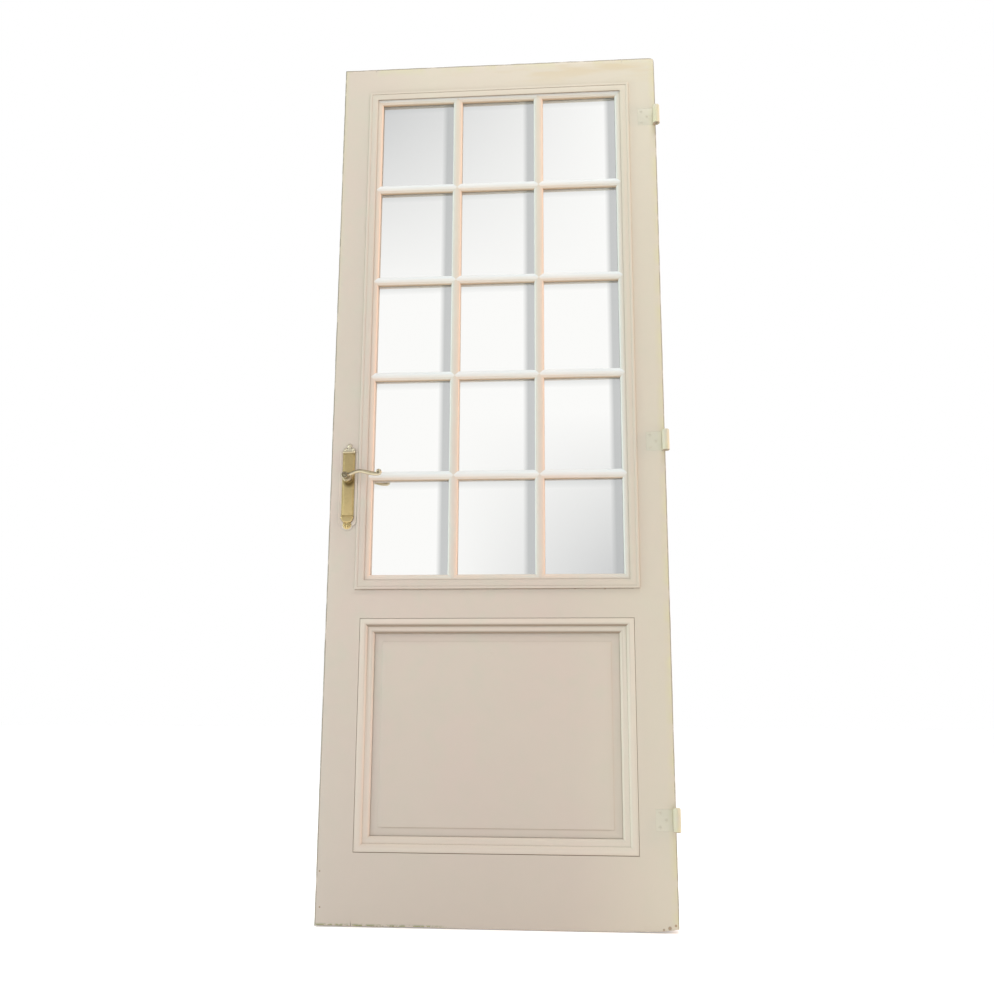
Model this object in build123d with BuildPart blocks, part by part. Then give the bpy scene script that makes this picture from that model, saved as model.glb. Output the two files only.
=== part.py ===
from build123d import *
from math import cos, radians, sin
import os

# Old glazed door leaf: fifteen small panes over one fielded panel, hung on lift-off hinges.
# The origin lies on the hinge axis, in the lower bearing face of the bottom hinge.
# +X points from the lock edge to the hinge edge, +Y from the front to the back, +Z up.

# Leaf frame
leaf_width = 830.0
leaf_height = 2187.0
leaf_thickness = 36.0
stile_width = 85.0
top_rail_height = 87.0
lock_rail_height = 84.5
bottom_rail_height = 163.0
panel_opening_height = 540.5
worn_corner_radius = 12.0

# Lift-off hinges
axis_outside_leaf = 0.5
bottom_hinge_height = 217.0
middle_hinge_height = 1109.0
top_hinge_below_top = 199.0
knuckle_radius = 8.5
knuckle_length = 54.0
knuckle_gap = 0.3
knuckle_foot_chamfer = 1.5
knuckle_dome_height = 4.0
knuckle_dome_bands = 2
socket_radius = 5.0
socket_depth = 47.0
hinge_flap_width = 47.0
hinge_flap_thickness = 2.5
hinge_flap_foot = 2.0

# Glazing
columns = 3
rows = 5
bar_fillet_width = 12.0
bar_quirk_depth = 1.5
ovolo_radius = 6.0
glass_setback = 9.5
glass_thickness = 3.0
glass_edge_gap = 1.5
rebate_width = 7.5
bar_depth = 33.0
bead_depth = 17.0
bead_slope = 5.0

# Raised moulding round the glazing
moulding_lap = 15.0
moulding_rise = 5.0
band_width = 23.0
band_fillet_width = 7.0
band_step = 1.0
edge_fillet_width = 7.5
scribe_depth = 5.0

# Stepped moulding round the panel
panel_moulding_groove = 1.5
panel_moulding_fillet = 8.0
panel_moulding_round_width = 10.0
panel_moulding_round_drop = 5.0
panel_moulding_step = 1.0
panel_moulding_inner_fillet = 6.5

# Lower panel
panel_setback = 14.0
panel_edge_gap = 1.0
panel_bevel_width = 20.0
panel_bevel_rise = 4.0
panel_field_step = 1.2

# Handle plate
handle_height = 1050.0
handle_backset = 46.0
plate_length = 166.5
plate_width = 31.0
plate_edge_thickness = 2.2
plate_crown = 1.6
plate_below_pivot = 96.5
plate_bar_height = 7.0
plate_bar_rise = 1.8
border_margin = 8.0
border_foot = 24.0
border_thickness = 1.4
border_corner_radius = 14.0
finial_thickness = 3.0
crest_height = 19.0
crest_radius = 6.0
crest_neck_width = 11.0
crest_lobe_radius = 5.5
crest_lobe_spread = 9.5
crest_lobe_lift = 3.0
palmette_height = 32.5
palmette_radius = 12.0
palmette_border = 2.5
cup_foot_width = 16.0
cup_height = 14.5
collar_radius = 11.0
collar_height = 5.0

# Lever
neck_radius = 8.0
neck_clearance = 0.05
hub_gap = 0.4
hub_radius = 11.5
hub_neck_radius = 8.5
hub_length = 17.0
hub_shoulder = 4.25
hub_flats = 12
stem_radius = 5.5
boss_radius = 8.5
boss_rounding = 1.5
lever_stand_off = 42.0
lever_length = 91.5
lever_thickness = 8.0
lever_chamfer = 1.5
lever_root_height = 8.0
lever_hump_reach = 37.0
lever_hump_lift = 10.0
lever_hump_height = 7.0
lever_dip_reach = 64.5
lever_dip_lift = 4.5
lever_dip_height = 9.0
scroll_radius = 9.0
scroll_lift = 7.5
scroll_eye_radius = 4.5
scroll_eye_depth = 1.5
spindle_side = 7.0
spindle_reach = 14.0
spindle_hole_radius = 6.0

# Latch
faceplate_length = 150.0
faceplate_width = 20.0
faceplate_thickness = 3.0
latch_bolt_height = 16.0
latch_bolt_thickness = 10.0
latch_bolt_length = 22.0
latch_bolt_gap = 0.3

# Levels and lines of the leaf in its own frame
right_edge = -axis_outside_leaf
left_edge = right_edge - leaf_width
front_face = knuckle_radius + knuckle_gap
back_face = front_face + leaf_thickness
middle_depth = (front_face + back_face) / 2
leaf_bottom = -bottom_hinge_height
leaf_top = leaf_bottom + leaf_height
bottom_rail_top = leaf_bottom + bottom_rail_height
lock_rail_bottom = bottom_rail_top + panel_opening_height
lock_rail_top = lock_rail_bottom + lock_rail_height
top_rail_bottom = leaf_top - top_rail_height
opening_left = left_edge + stile_width
opening_right = right_edge - stile_width

front = Vector(0, -1, 0)
back = Vector(0, 1, 0)

os.makedirs("parts", exist_ok=True)


def keep(piece, name):
    """Label a finished piece and write it out."""
    piece.part.label = name
    export_step(piece.part, f"parts/{name}.step")


def elevation(depth):
    """Upright plane facing the front, this far behind the leaf's front face."""
    return Plane.XZ.offset(-(front_face + depth))


def banded_arc(centre_across, centre_along, radius, first_angle, last_angle, bands):
    """Points along an arc in a turned profile, as (across, along), one more than its bands."""
    angles = [first_angle + (last_angle - first_angle) * band / bands for band in range(bands + 1)]
    return [
        (centre_across + radius * cos(radians(angle)), centre_along + radius * sin(radians(angle)))
        for angle in angles
    ]


def rectangle_between(left, bottom, right, top):
    """Rectangle between two corners of the active sketch."""
    with Locations(((left + right) / 2, (bottom + top) / 2)):
        Rectangle(right - left, top - bottom)


# Frame of the leaf
handle_x = left_edge + handle_backset
handle_z = leaf_bottom + handle_height
hinge_levels = {
    "bottom": leaf_bottom + bottom_hinge_height,
    "middle": leaf_bottom + middle_hinge_height,
    "top": leaf_top - top_hinge_below_top,
}
hinge_flap_top = knuckle_length - knuckle_dome_height
latch_pocket_length = faceplate_thickness + latch_bolt_length

with BuildPart() as lock_stile:
    with BuildSketch(elevation(0)):
        rectangle_between(left_edge, leaf_bottom, opening_left, leaf_top)
    extrude(amount=-leaf_thickness)
    with Locations(elevation(0)):
        with Locations((handle_x, handle_z)):
            Hole(spindle_hole_radius)
    edge_plane = Plane(origin=(left_edge, middle_depth, handle_z), x_dir=(0, -1, 0), z_dir=(-1, 0, 0))
    with BuildSketch(edge_plane):
        Rectangle(faceplate_width, faceplate_length)
    extrude(amount=-faceplate_thickness, mode=Mode.SUBTRACT)
    with BuildSketch(edge_plane):
        Rectangle(latch_bolt_thickness + 2 * latch_bolt_gap, latch_bolt_height + 2 * latch_bolt_gap)
    extrude(amount=-latch_pocket_length, mode=Mode.SUBTRACT)
keep(lock_stile, "lock_stile")

with BuildPart() as hinge_stile:
    with BuildSketch(elevation(0)) as stile_outline:
        rectangle_between(opening_right, leaf_bottom, right_edge, leaf_top)
        top_corner = stile_outline.vertices().group_by(Axis.Y)[-1].sort_by(Axis.X)[-1]
        fillet(top_corner, worn_corner_radius)
    extrude(amount=-leaf_thickness)
    with BuildSketch(elevation(0)):
        for level in hinge_levels.values():
            rectangle_between(
                right_edge - hinge_flap_width, level + hinge_flap_foot, right_edge, level + hinge_flap_top
            )
    extrude(amount=-hinge_flap_thickness, mode=Mode.SUBTRACT)
keep(hinge_stile, "hinge_stile")

rail_levels = {
    "bottom_rail": (leaf_bottom, bottom_rail_top),
    "lock_rail": (lock_rail_bottom, lock_rail_top),
    "top_rail": (top_rail_bottom, leaf_top),
}
for rail_name, (low, high) in rail_levels.items():
    with BuildPart() as rail:
        with BuildSketch(elevation(0)):
            rectangle_between(opening_left, low, opening_right, high)
        extrude(amount=-leaf_thickness)
    keep(rail, rail_name)


# Moulding sections: x runs inwards from the outer edge, y out of the leaf's face
bar_half_width = bar_fillet_width / 2 + ovolo_radius
stem_half_width = bar_half_width - rebate_width
quirk_at = band_width + edge_fillet_width
moulding_width = quirk_at + ovolo_radius
ovolo_centre_depth = bar_quirk_depth + ovolo_radius
rebate_at = moulding_width - rebate_width

with BuildSketch(Plane.XY) as glazing_section:
    with BuildLine():
        Polyline((moulding_lap, -leaf_thickness), (moulding_lap, 0), (0, 0), (0, moulding_rise - band_step))
        RadiusArc((0, moulding_rise - band_step), (band_step, moulding_rise), band_step)
        Polyline(
            (band_step, moulding_rise),
            (band_fillet_width, moulding_rise),
            (band_fillet_width, moulding_rise - band_step),
        )
        ThreePointArc(
            (band_fillet_width, moulding_rise - band_step),
            ((band_fillet_width + band_width) / 2, moulding_rise),
            (band_width, moulding_rise - band_step),
        )
        Polyline(
            (band_width, moulding_rise - band_step),
            (band_width, 0),
            (quirk_at, 0),
            (quirk_at, -bar_quirk_depth),
        )
        RadiusArc((quirk_at, -bar_quirk_depth), (moulding_width, -ovolo_centre_depth), ovolo_radius)
        Polyline(
            (moulding_width, -ovolo_centre_depth),
            (moulding_width, -glass_setback),
            (rebate_at, -glass_setback),
            (rebate_at, -leaf_thickness),
            (moulding_lap, -leaf_thickness),
        )
    make_face()

with BuildSketch(Plane.XY) as back_band_section:
    with BuildLine():
        Polyline((band_width, 0), (0, 0), (0, moulding_rise - band_step), (band_step, moulding_rise))
        Polyline(
            (band_step, moulding_rise),
            (band_fillet_width, moulding_rise),
            (band_fillet_width, moulding_rise - band_step),
        )
        ThreePointArc(
            (band_fillet_width, moulding_rise - band_step),
            ((band_fillet_width + band_width) / 2, moulding_rise),
            (band_width, moulding_rise - band_step),
        )
        Line((band_width, moulding_rise - band_step), (band_width, 0))
    make_face()

bar_fillet_half = bar_fillet_width / 2
with BuildSketch(Plane.XY) as bar_section:
    with BuildLine():
        Polyline((0, 0), (bar_fillet_half, 0), (bar_fillet_half, -bar_quirk_depth))
        RadiusArc((bar_fillet_half, -bar_quirk_depth), (bar_half_width, -ovolo_centre_depth), ovolo_radius)
        Polyline(
            (bar_half_width, -ovolo_centre_depth),
            (bar_half_width, -glass_setback),
            (stem_half_width, -glass_setback),
            (stem_half_width, -bar_depth),
            (0, -bar_depth),
            (0, 0),
        )
    make_face()
    mirror(about=Plane.YZ)

first_round_at = panel_moulding_groove + panel_moulding_fillet
step_at = first_round_at + panel_moulding_round_width
second_round_at = step_at + panel_moulding_inner_fillet
panel_moulding_width = second_round_at + panel_moulding_round_width
step_top = -panel_moulding_round_drop
step_foot = step_top - panel_moulding_step
moulding_foot = step_foot - panel_moulding_round_drop
round_radius = (panel_moulding_round_width**2 + panel_moulding_round_drop**2) / (2 * panel_moulding_round_drop)
with BuildSketch(Plane.XY) as panel_moulding_section:
    with BuildLine():
        Polyline((0, -panel_setback), (0, -panel_moulding_groove), (panel_moulding_groove, 0), (first_round_at, 0))
        RadiusArc((first_round_at, 0), (step_at, step_top), round_radius)
        Polyline((step_at, step_top), (step_at, step_foot), (second_round_at, step_foot))
        RadiusArc((second_round_at, step_foot), (panel_moulding_width, moulding_foot), round_radius)
        Polyline(
            (panel_moulding_width, moulding_foot),
            (panel_moulding_width, -panel_setback),
            (0, -panel_setback),
        )
    make_face()


def mitred_stick(section, middle, inward, outward, length):
    """Stick of moulding along one side of a frame, mitred at both ends."""
    along = inward.cross(outward)
    start = middle - along * (length / 2)
    end = middle + along * (length / 2)
    with BuildPart() as stick:
        with BuildSketch(Plane(origin=start, x_dir=inward, z_dir=along)):
            add(section.sketch)
        extrude(amount=length)
        split(bisect_by=Plane(origin=start, z_dir=along - inward), keep=Keep.TOP)
        split(bisect_by=Plane(origin=end, z_dir=-along - inward), keep=Keep.TOP)
    return stick


def mitred_frame(name, section, left, bottom, right, top, depth, outward):
    """Four mitred sticks round a rectangle, outer corners as given."""
    middle_x = (left + right) / 2
    middle_z = (bottom + top) / 2
    sides = {
        "bottom": (Vector(middle_x, depth, bottom), Vector(0, 0, 1), right - left),
        "top": (Vector(middle_x, depth, top), Vector(0, 0, -1), right - left),
        "left": (Vector(left, depth, middle_z), Vector(1, 0, 0), top - bottom),
        "right": (Vector(right, depth, middle_z), Vector(-1, 0, 0), top - bottom),
    }
    sticks = {}
    for side, (middle, inward, length) in sides.items():
        sticks[side] = mitred_stick(section, middle, inward, outward, length)
        keep(sticks[side], f"{name}_{side}")
    return sticks


# Mouldings round the glazing, front and back
surround_left = opening_left - moulding_lap
surround_right = opening_right + moulding_lap
surround_bottom = lock_rail_top - moulding_lap
surround_top = top_rail_bottom + moulding_lap
surround = (surround_left, surround_bottom, surround_right, surround_top)
glazing_moulding = mitred_frame("glazing_moulding", glazing_section, *surround, front_face, front)
mitred_frame("back_glazing_moulding", back_band_section, *surround, back_face, back)

# Mouldings round the panel, front and back
panel_opening = (opening_left, bottom_rail_top, opening_right, lock_rail_bottom)
mitred_frame("panel_moulding", panel_moulding_section, *panel_opening, front_face, front)
mitred_frame("back_panel_moulding", panel_moulding_section, *panel_opening, back_face, back)


# Raised and fielded panel, the same on both faces
def grown(rectangle, amount):
    """Rectangle as left, bottom, right, top, grown outwards by an amount."""
    left, bottom, right, top = rectangle
    return (left - amount, bottom - amount, right + amount, top + amount)


bevel_foot = grown(panel_opening, -panel_moulding_width)
field = grown(bevel_foot, -panel_bevel_width)
panel_front = panel_setback
panel_back = leaf_thickness - panel_setback
with BuildPart() as lower_panel:
    with BuildSketch(elevation(panel_front)):
        rectangle_between(*grown(panel_opening, -panel_edge_gap))
    extrude(amount=-(panel_back - panel_front))
    with BuildSketch(elevation(panel_front)):
        rectangle_between(*bevel_foot)
    with BuildSketch(elevation(panel_front - panel_bevel_rise)):
        rectangle_between(*field)
    loft()
    with BuildSketch(elevation(panel_back)):
        rectangle_between(*bevel_foot)
    with BuildSketch(elevation(panel_back + panel_bevel_rise)):
        rectangle_between(*field)
    loft()
    with BuildSketch(elevation(panel_front - panel_bevel_rise - panel_field_step)):
        rectangle_between(*field)
    extrude(amount=-(panel_back - panel_front + 2 * panel_bevel_rise + 2 * panel_field_step))
keep(lower_panel, "lower_panel")


# Glazing bars
sight_inset = moulding_width - moulding_lap
sight_left = opening_left + sight_inset
sight_right = opening_right - sight_inset
sight_bottom = lock_rail_top + sight_inset
sight_top = top_rail_bottom - sight_inset
bar_width = 2 * bar_half_width
pane_width = (sight_right - sight_left - (columns - 1) * bar_width) / columns
pane_height = (sight_top - sight_bottom - (rows - 1) * bar_width) / rows
bar_lines = [
    sight_left + column * (pane_width + bar_width) - bar_half_width for column in range(1, columns)
]
bar_levels = [
    sight_bottom + row * (pane_height + bar_width) - bar_half_width for row in range(1, rows)
]
bar_bottom = lock_rail_top + scribe_depth
bar_top = top_rail_bottom - scribe_depth

upright_bars = []
for side, line in zip(("left", "right"), bar_lines):
    with BuildPart() as glazing_bar:
        with BuildSketch(Plane(origin=(line, front_face, bar_bottom), x_dir=(-1, 0, 0), z_dir=(0, 0, 1))):
            add(bar_section.sketch)
        extrude(amount=bar_top - bar_bottom)
        add(glazing_moulding["bottom"].part, mode=Mode.SUBTRACT)
        add(glazing_moulding["top"].part, mode=Mode.SUBTRACT)
    keep(glazing_bar, f"glazing_bar_{side}")
    upright_bars.append(glazing_bar.part)

# Cross bars, scribed to the uprights and to the moulding at the sides
cross_bar_ends = [opening_left + scribe_depth, *bar_lines, opening_right - scribe_depth]
neighbours = [glazing_moulding["left"].part, *upright_bars, glazing_moulding["right"].part]
for number, level in enumerate(reversed(bar_levels), start=1):
    with BuildPart() as cross_bars:
        for start, end in zip(cross_bar_ends, cross_bar_ends[1:]):
            with BuildSketch(Plane(origin=(start, front_face, level), x_dir=(0, 0, 1), z_dir=(1, 0, 0))):
                add(bar_section.sketch)
            extrude(amount=end - start)
        for neighbour in neighbours:
            add(neighbour, mode=Mode.SUBTRACT)
    keep(cross_bars, f"cross_bars_{number}")


# Panes and the beads that hold them from the back
pane_inset = rebate_width - glass_edge_gap
column_lefts = [sight_left + column * (pane_width + bar_width) for column in range(columns)]
row_bottoms = [sight_bottom + row * (pane_height + bar_width) for row in range(rows)]
for number, bottom in enumerate(reversed(row_bottoms), start=1):
    with BuildPart() as glass_row:
        with BuildSketch(elevation(glass_setback)):
            for left in column_lefts:
                sight = (left, bottom, left + pane_width, bottom + pane_height)
                rectangle_between(*grown(sight, pane_inset))
        extrude(amount=-glass_thickness)
    keep(glass_row, f"glass_row_{number}")

glass_back = glass_setback + glass_thickness
with BuildPart() as glazing_beads:
    with BuildSketch(elevation(glass_back)):
        for bottom in row_bottoms:
            for left in column_lefts:
                sight = (left, bottom, left + pane_width, bottom + pane_height)
                rectangle_between(*grown(sight, rebate_width))
    extrude(amount=-bead_depth)
    with BuildSketch(elevation(glass_back)):
        for bottom in row_bottoms:
            for left in column_lefts:
                rectangle_between(left, bottom, left + pane_width, bottom + pane_height)
    extrude(amount=-bead_depth, mode=Mode.SUBTRACT)
    bead_backs = glazing_beads.faces().group_by(Axis.Y)[-1]
    chamfer([edge for ring in bead_backs for edge in ring.inner_wires().edges()], bead_slope)
keep(glazing_beads, "glazing_beads")


# Lift-off hinge halves on the hinge stile: a socketed knuckle, domed on top, and a flap let in flush
with BuildPart() as hinges:
    for level in hinge_levels.values():
        with BuildSketch(Plane.XZ):
            with BuildLine():
                Polyline(
                    (0, level),
                    (knuckle_radius - knuckle_foot_chamfer, level),
                    (knuckle_radius, level + knuckle_foot_chamfer),
                    *banded_arc(
                        knuckle_radius - knuckle_dome_height,
                        level + hinge_flap_top,
                        knuckle_dome_height,
                        first_angle=0,
                        last_angle=90,
                        bands=knuckle_dome_bands,
                    ),
                    (0, level + knuckle_length),
                    (0, level),
                )
            make_face()
        revolve(axis=Axis.Z)
        with BuildSketch(Plane.XY.offset(level + hinge_flap_foot)):
            rectangle_between(-knuckle_radius, 0, 0, front_face + hinge_flap_thickness)
            rectangle_between(right_edge - hinge_flap_width, front_face, 0, front_face + hinge_flap_thickness)
        extrude(amount=hinge_flap_top - hinge_flap_foot)
        with BuildSketch(Plane.XY.offset(level)):
            Circle(socket_radius)
        extrude(amount=socket_depth, mode=Mode.SUBTRACT)
keep(hinges, "hinges")


# Handle plate: crowned body, cross bar and lobed crest above, cup and palmette below, flat border round it
plate_bottom = handle_z - plate_below_pivot
plate_top = plate_bottom + plate_length
plate_left = handle_x - plate_width / 2
plate_right = handle_x + plate_width / 2
plate_crown_thickness = plate_edge_thickness + plate_crown
collar_top = plate_crown_thickness + collar_height
cup_foot = plate_bottom - cup_height
palmette_level = plate_bottom - palmette_height + palmette_radius
crest_level = plate_top + crest_height - crest_radius

with BuildSketch(Plane.XY) as crest:
    rectangle_between(
        handle_x - crest_neck_width / 2, plate_top, handle_x + crest_neck_width / 2, crest_level
    )
    with Locations((handle_x, crest_level)):
        Circle(crest_radius)
    for hand in (-1, 1):
        with Locations((handle_x + hand * crest_lobe_spread, plate_top + crest_lobe_lift)):
            Circle(crest_lobe_radius)

with BuildSketch(Plane.XY) as cup:
    with BuildLine():
        Line((plate_left, plate_bottom), (plate_right, plate_bottom))
        Line((handle_x - cup_foot_width / 2, cup_foot), (handle_x + cup_foot_width / 2, cup_foot))
        for corner, hand in ((plate_left, -1), (plate_right, 1)):
            TangentArc((corner, plate_bottom), (handle_x + hand * cup_foot_width / 2, cup_foot), tangent=(0, -1))
    make_face()

with BuildPart() as handle_plate_front:
    with BuildSketch(elevation(0)) as border_outline:
        rectangle_between(
            plate_left - border_margin,
            plate_bottom - border_foot,
            plate_right + border_margin,
            plate_top,
        )
        fillet(border_outline.vertices().group_by(Axis.Y)[0], border_corner_radius)
        with Locations((handle_x, palmette_level)):
            Circle(palmette_radius + palmette_border)
    extrude(amount=border_thickness)
    with BuildSketch(elevation(0)):
        add(crest.sketch)
        with Locations((handle_x, palmette_level)):
            Circle(palmette_radius)
    extrude(amount=finial_thickness)
    with BuildSketch(Plane.XY.offset(plate_bottom)):
        with BuildLine():
            Polyline(
                (plate_left, front_face - plate_edge_thickness),
                (plate_left, front_face),
                (plate_right, front_face),
                (plate_right, front_face - plate_edge_thickness),
            )
            ThreePointArc(
                (plate_left, front_face - plate_edge_thickness),
                (handle_x, front_face - plate_crown_thickness),
                (plate_right, front_face - plate_edge_thickness),
            )
        make_face()
    extrude(amount=plate_length)
    with BuildSketch(elevation(0)):
        rectangle_between(plate_left, plate_top - plate_bar_height, plate_right, plate_top)
        add(cup.sketch)
    extrude(amount=plate_crown_thickness + plate_bar_rise)
    with BuildSketch(elevation(0)):
        with Locations((handle_x, handle_z)):
            Circle(collar_radius)
    extrude(amount=collar_top)
    with BuildSketch(elevation(0)):
        with Locations((handle_x, handle_z)):
            Circle(neck_radius + neck_clearance)
    extrude(amount=collar_top, mode=Mode.SUBTRACT)
keep(handle_plate_front, "handle_plate_front")

# Lever: turned stem with a hub and an end boss, and a waved arm that ends in a scroll
hub_foot = collar_top + hub_gap
hub_top = hub_foot + hub_length
boss_foot = lever_stand_off - lever_thickness / 2
boss_top = lever_stand_off + lever_thickness / 2 + boss_rounding
stem_axis = Axis((handle_x, front_face, handle_z), (0, -1, 0))
lever_back_plane = elevation(-boss_foot)
scroll_centre = (handle_x + lever_length - scroll_radius, handle_z + scroll_lift)


def wave_edge(side):
    """Upper or lower edge of the arm: arcs that pass level through root, hump and dip."""
    crests = [
        (handle_x, handle_z + side * lever_root_height / 2),
        (handle_x + lever_hump_reach, handle_z + lever_hump_lift + side * lever_hump_height / 2),
        (handle_x + lever_dip_reach, handle_z + lever_dip_lift + side * lever_dip_height / 2),
    ]
    for start, end in zip(crests, crests[1:]):
        turn = ((start[0] + end[0]) / 2, (start[1] + end[1]) / 2)
        TangentArc(start, turn, tangent=(1, 0))
        TangentArc(end, turn, tangent=(-1, 0))
    return crests[0], crests[-1]


with BuildPart() as lever_front:
    with BuildSketch(Plane(origin=(handle_x, front_face, handle_z), x_dir=(1, 0, 0), z_dir=(0, 0, -1))):
        with BuildLine():
            Polyline(
                (0, hub_gap),
                (neck_radius, hub_gap),
                (neck_radius, hub_foot),
                (stem_radius, hub_foot),
                (stem_radius, boss_foot),
                (boss_radius, boss_foot),
                (boss_radius, boss_top - boss_rounding),
                (boss_radius - boss_rounding, boss_top),
                (0, boss_top),
                (0, hub_gap),
            )
        make_face()
    revolve(axis=stem_axis)
    for distance, radius in (
        (hub_foot, hub_neck_radius),
        (hub_foot + hub_shoulder, hub_radius),
        (hub_top - hub_shoulder, hub_radius),
        (hub_top, hub_neck_radius),
    ):
        with BuildSketch(elevation(-distance)):
            with Locations((handle_x, handle_z)):
                RegularPolygon(radius, hub_flats)
    loft(ruled=True)
    with BuildPart(mode=Mode.PRIVATE) as arm:
        with BuildSketch(lever_back_plane):
            with BuildLine():
                upper_root, upper_end = wave_edge(1)
                lower_root, lower_end = wave_edge(-1)
                Line(upper_root, lower_root)
                Polyline(upper_end, scroll_centre, lower_end)
            make_face()
            with Locations(scroll_centre):
                Circle(scroll_radius)
        extrude(amount=lever_thickness)
        chamfer(arm.faces().sort_by(Axis.Y)[0].edges(), lever_chamfer)
        chamfer(arm.faces().sort_by(Axis.Y)[-1].edges(), lever_chamfer)
        with BuildSketch(elevation(-boss_foot - lever_thickness)):
            with Locations(scroll_centre):
                Circle(scroll_eye_radius)
        extrude(amount=-scroll_eye_depth, mode=Mode.SUBTRACT)
    add(arm.part)
    with BuildSketch(elevation(-hub_gap)):
        with Locations((handle_x, handle_z)):
            Rectangle(spindle_side, spindle_side)
    extrude(amount=spindle_reach - hub_gap, mode=Mode.SUBTRACT)
keep(lever_front, "lever_front")

# Same plate and lever on the back of the leaf
mid_plane = Plane.XZ.offset(-middle_depth)
with BuildPart() as handle_plate_back:
    mirror(handle_plate_front.part, about=mid_plane)
keep(handle_plate_back, "handle_plate_back")

with BuildPart() as lever_back:
    mirror(lever_front.part, about=mid_plane)
keep(lever_back, "lever_back")

with BuildPart() as spindle:
    with BuildSketch(elevation(-spindle_reach)):
        with Locations((handle_x, handle_z)):
            Rectangle(spindle_side, spindle_side)
    extrude(amount=-(leaf_thickness + 2 * spindle_reach))
keep(spindle, "spindle")

# Latch in the lock edge
with BuildPart() as latch_faceplate:
    with BuildSketch(edge_plane):
        Rectangle(faceplate_width, faceplate_length)
        Rectangle(
            latch_bolt_thickness + 2 * latch_bolt_gap,
            latch_bolt_height + 2 * latch_bolt_gap,
            mode=Mode.SUBTRACT,
        )
    extrude(amount=-faceplate_thickness)
keep(latch_faceplate, "latch_faceplate")

with BuildPart() as latch_bolt:
    with BuildSketch(edge_plane):
        Rectangle(latch_bolt_thickness, latch_bolt_height)
    extrude(amount=-latch_pocket_length)
keep(latch_bolt, "latch_bolt")
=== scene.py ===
"""Looks for an old glazed door leaf: brushed cream paint, clear panes and an aged brass lever set."""

import logging
import math
from contextlib import contextmanager
from dataclasses import dataclass
from enum import Enum
from typing import Callable, ClassVar, Iterable, Iterator, Sequence

import bmesh
import bpy
from mathutils import Euler, Matrix, Vector


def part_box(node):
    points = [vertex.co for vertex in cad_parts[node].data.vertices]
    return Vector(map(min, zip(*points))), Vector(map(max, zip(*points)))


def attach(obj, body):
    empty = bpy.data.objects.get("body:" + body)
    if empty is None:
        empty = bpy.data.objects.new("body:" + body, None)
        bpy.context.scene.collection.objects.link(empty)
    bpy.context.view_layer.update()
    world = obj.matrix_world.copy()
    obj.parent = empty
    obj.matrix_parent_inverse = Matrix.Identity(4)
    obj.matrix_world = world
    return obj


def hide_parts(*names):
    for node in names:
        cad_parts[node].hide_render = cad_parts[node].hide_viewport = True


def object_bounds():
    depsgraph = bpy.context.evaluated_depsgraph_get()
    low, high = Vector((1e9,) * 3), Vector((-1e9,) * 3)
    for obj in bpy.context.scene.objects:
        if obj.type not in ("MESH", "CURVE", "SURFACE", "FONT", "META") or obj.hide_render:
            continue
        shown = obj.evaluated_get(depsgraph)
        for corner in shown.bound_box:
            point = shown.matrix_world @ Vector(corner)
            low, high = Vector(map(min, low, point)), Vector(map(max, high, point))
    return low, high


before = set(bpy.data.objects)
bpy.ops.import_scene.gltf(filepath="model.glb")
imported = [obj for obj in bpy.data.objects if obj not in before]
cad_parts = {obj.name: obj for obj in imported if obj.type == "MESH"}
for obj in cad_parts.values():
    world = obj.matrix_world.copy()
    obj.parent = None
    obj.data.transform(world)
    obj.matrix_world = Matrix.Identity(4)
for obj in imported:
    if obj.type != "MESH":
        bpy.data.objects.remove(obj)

CAD_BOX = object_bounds()
MM = 0.001
TOUCH = 0.02 * MM
PHOTO_WIDTH = 994
PHOTO_HEIGHT = 995
LEFT, RIGHT = Vector((-1, 0, 0)), Vector((1, 0, 0))
OUT, INTO = Vector((0, -1, 0)), Vector((0, 1, 0))
DOWN, UP = Vector((0, 0, -1)), Vector((0, 0, 1))
AO_SAMPLES = 6
# Least share of a normal along an axis, for a face that lies square to it and for one that may lean.
SQUARE = 0.9
LEANING = 0.7

log = logging.getLogger("door_leaf")

Piece = bpy.types.Object
Material = bpy.types.Material
Tree = bpy.types.NodeTree
Socket = bpy.types.NodeSocket
Face = bmesh.types.BMFace
Edge = bmesh.types.BMEdge
Step = tuple[float, float]
Spot = tuple[float, float, float]
Zone = tuple[Socket, float, float]
Corners = tuple[Vector, Vector]


class Run(Enum):
    """The way a timber member runs, and with it the brush marks in its paint."""

    UPRIGHT = "upright"
    ACROSS = "across"


class Side(Enum):
    """Face of the leaf that a piece belongs to; the value points along Y, out of that face."""

    FRONT = -1
    BACK = 1


def linear(hex_colour: str) -> tuple[float, float, float, float]:
    """Turn an sRGB hex colour into linear light.

    Args:
        hex_colour: Colour as six hex digits, with or without a hash.

    Returns:
        Red, green, blue and full alpha, in linear light.
    """
    digits = hex_colour.lstrip("#")
    channels = [int(digits[i : i + 2], 16) / 255 for i in (0, 2, 4)]
    light = [c / 12.92 if c <= 0.04045 else ((c + 0.055) / 1.055) ** 2.4 for c in channels]
    return (light[0], light[1], light[2], 1.0)


def add_node(tree: Tree, kind: str, sockets: dict | None = None, **settings: str | int) -> bpy.types.Node:
    """Add one shader node with its settings and its links.

    Args:
        tree: Node tree of the material.
        kind: Blender's name for the node's type, without its first word.
        sockets: Inputs by name or index, each a value or an output to link from.
        settings: Properties of the node.

    Returns:
        The new node.
    """
    node = tree.nodes.new(f"ShaderNode{kind}")
    for name, value in settings.items():
        setattr(node, name, value)
    for name, value in (sockets or {}).items():
        if isinstance(value, Socket):
            tree.links.new(value, node.inputs[name])
        else:
            node.inputs[name].default_value = value
    return node


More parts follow.
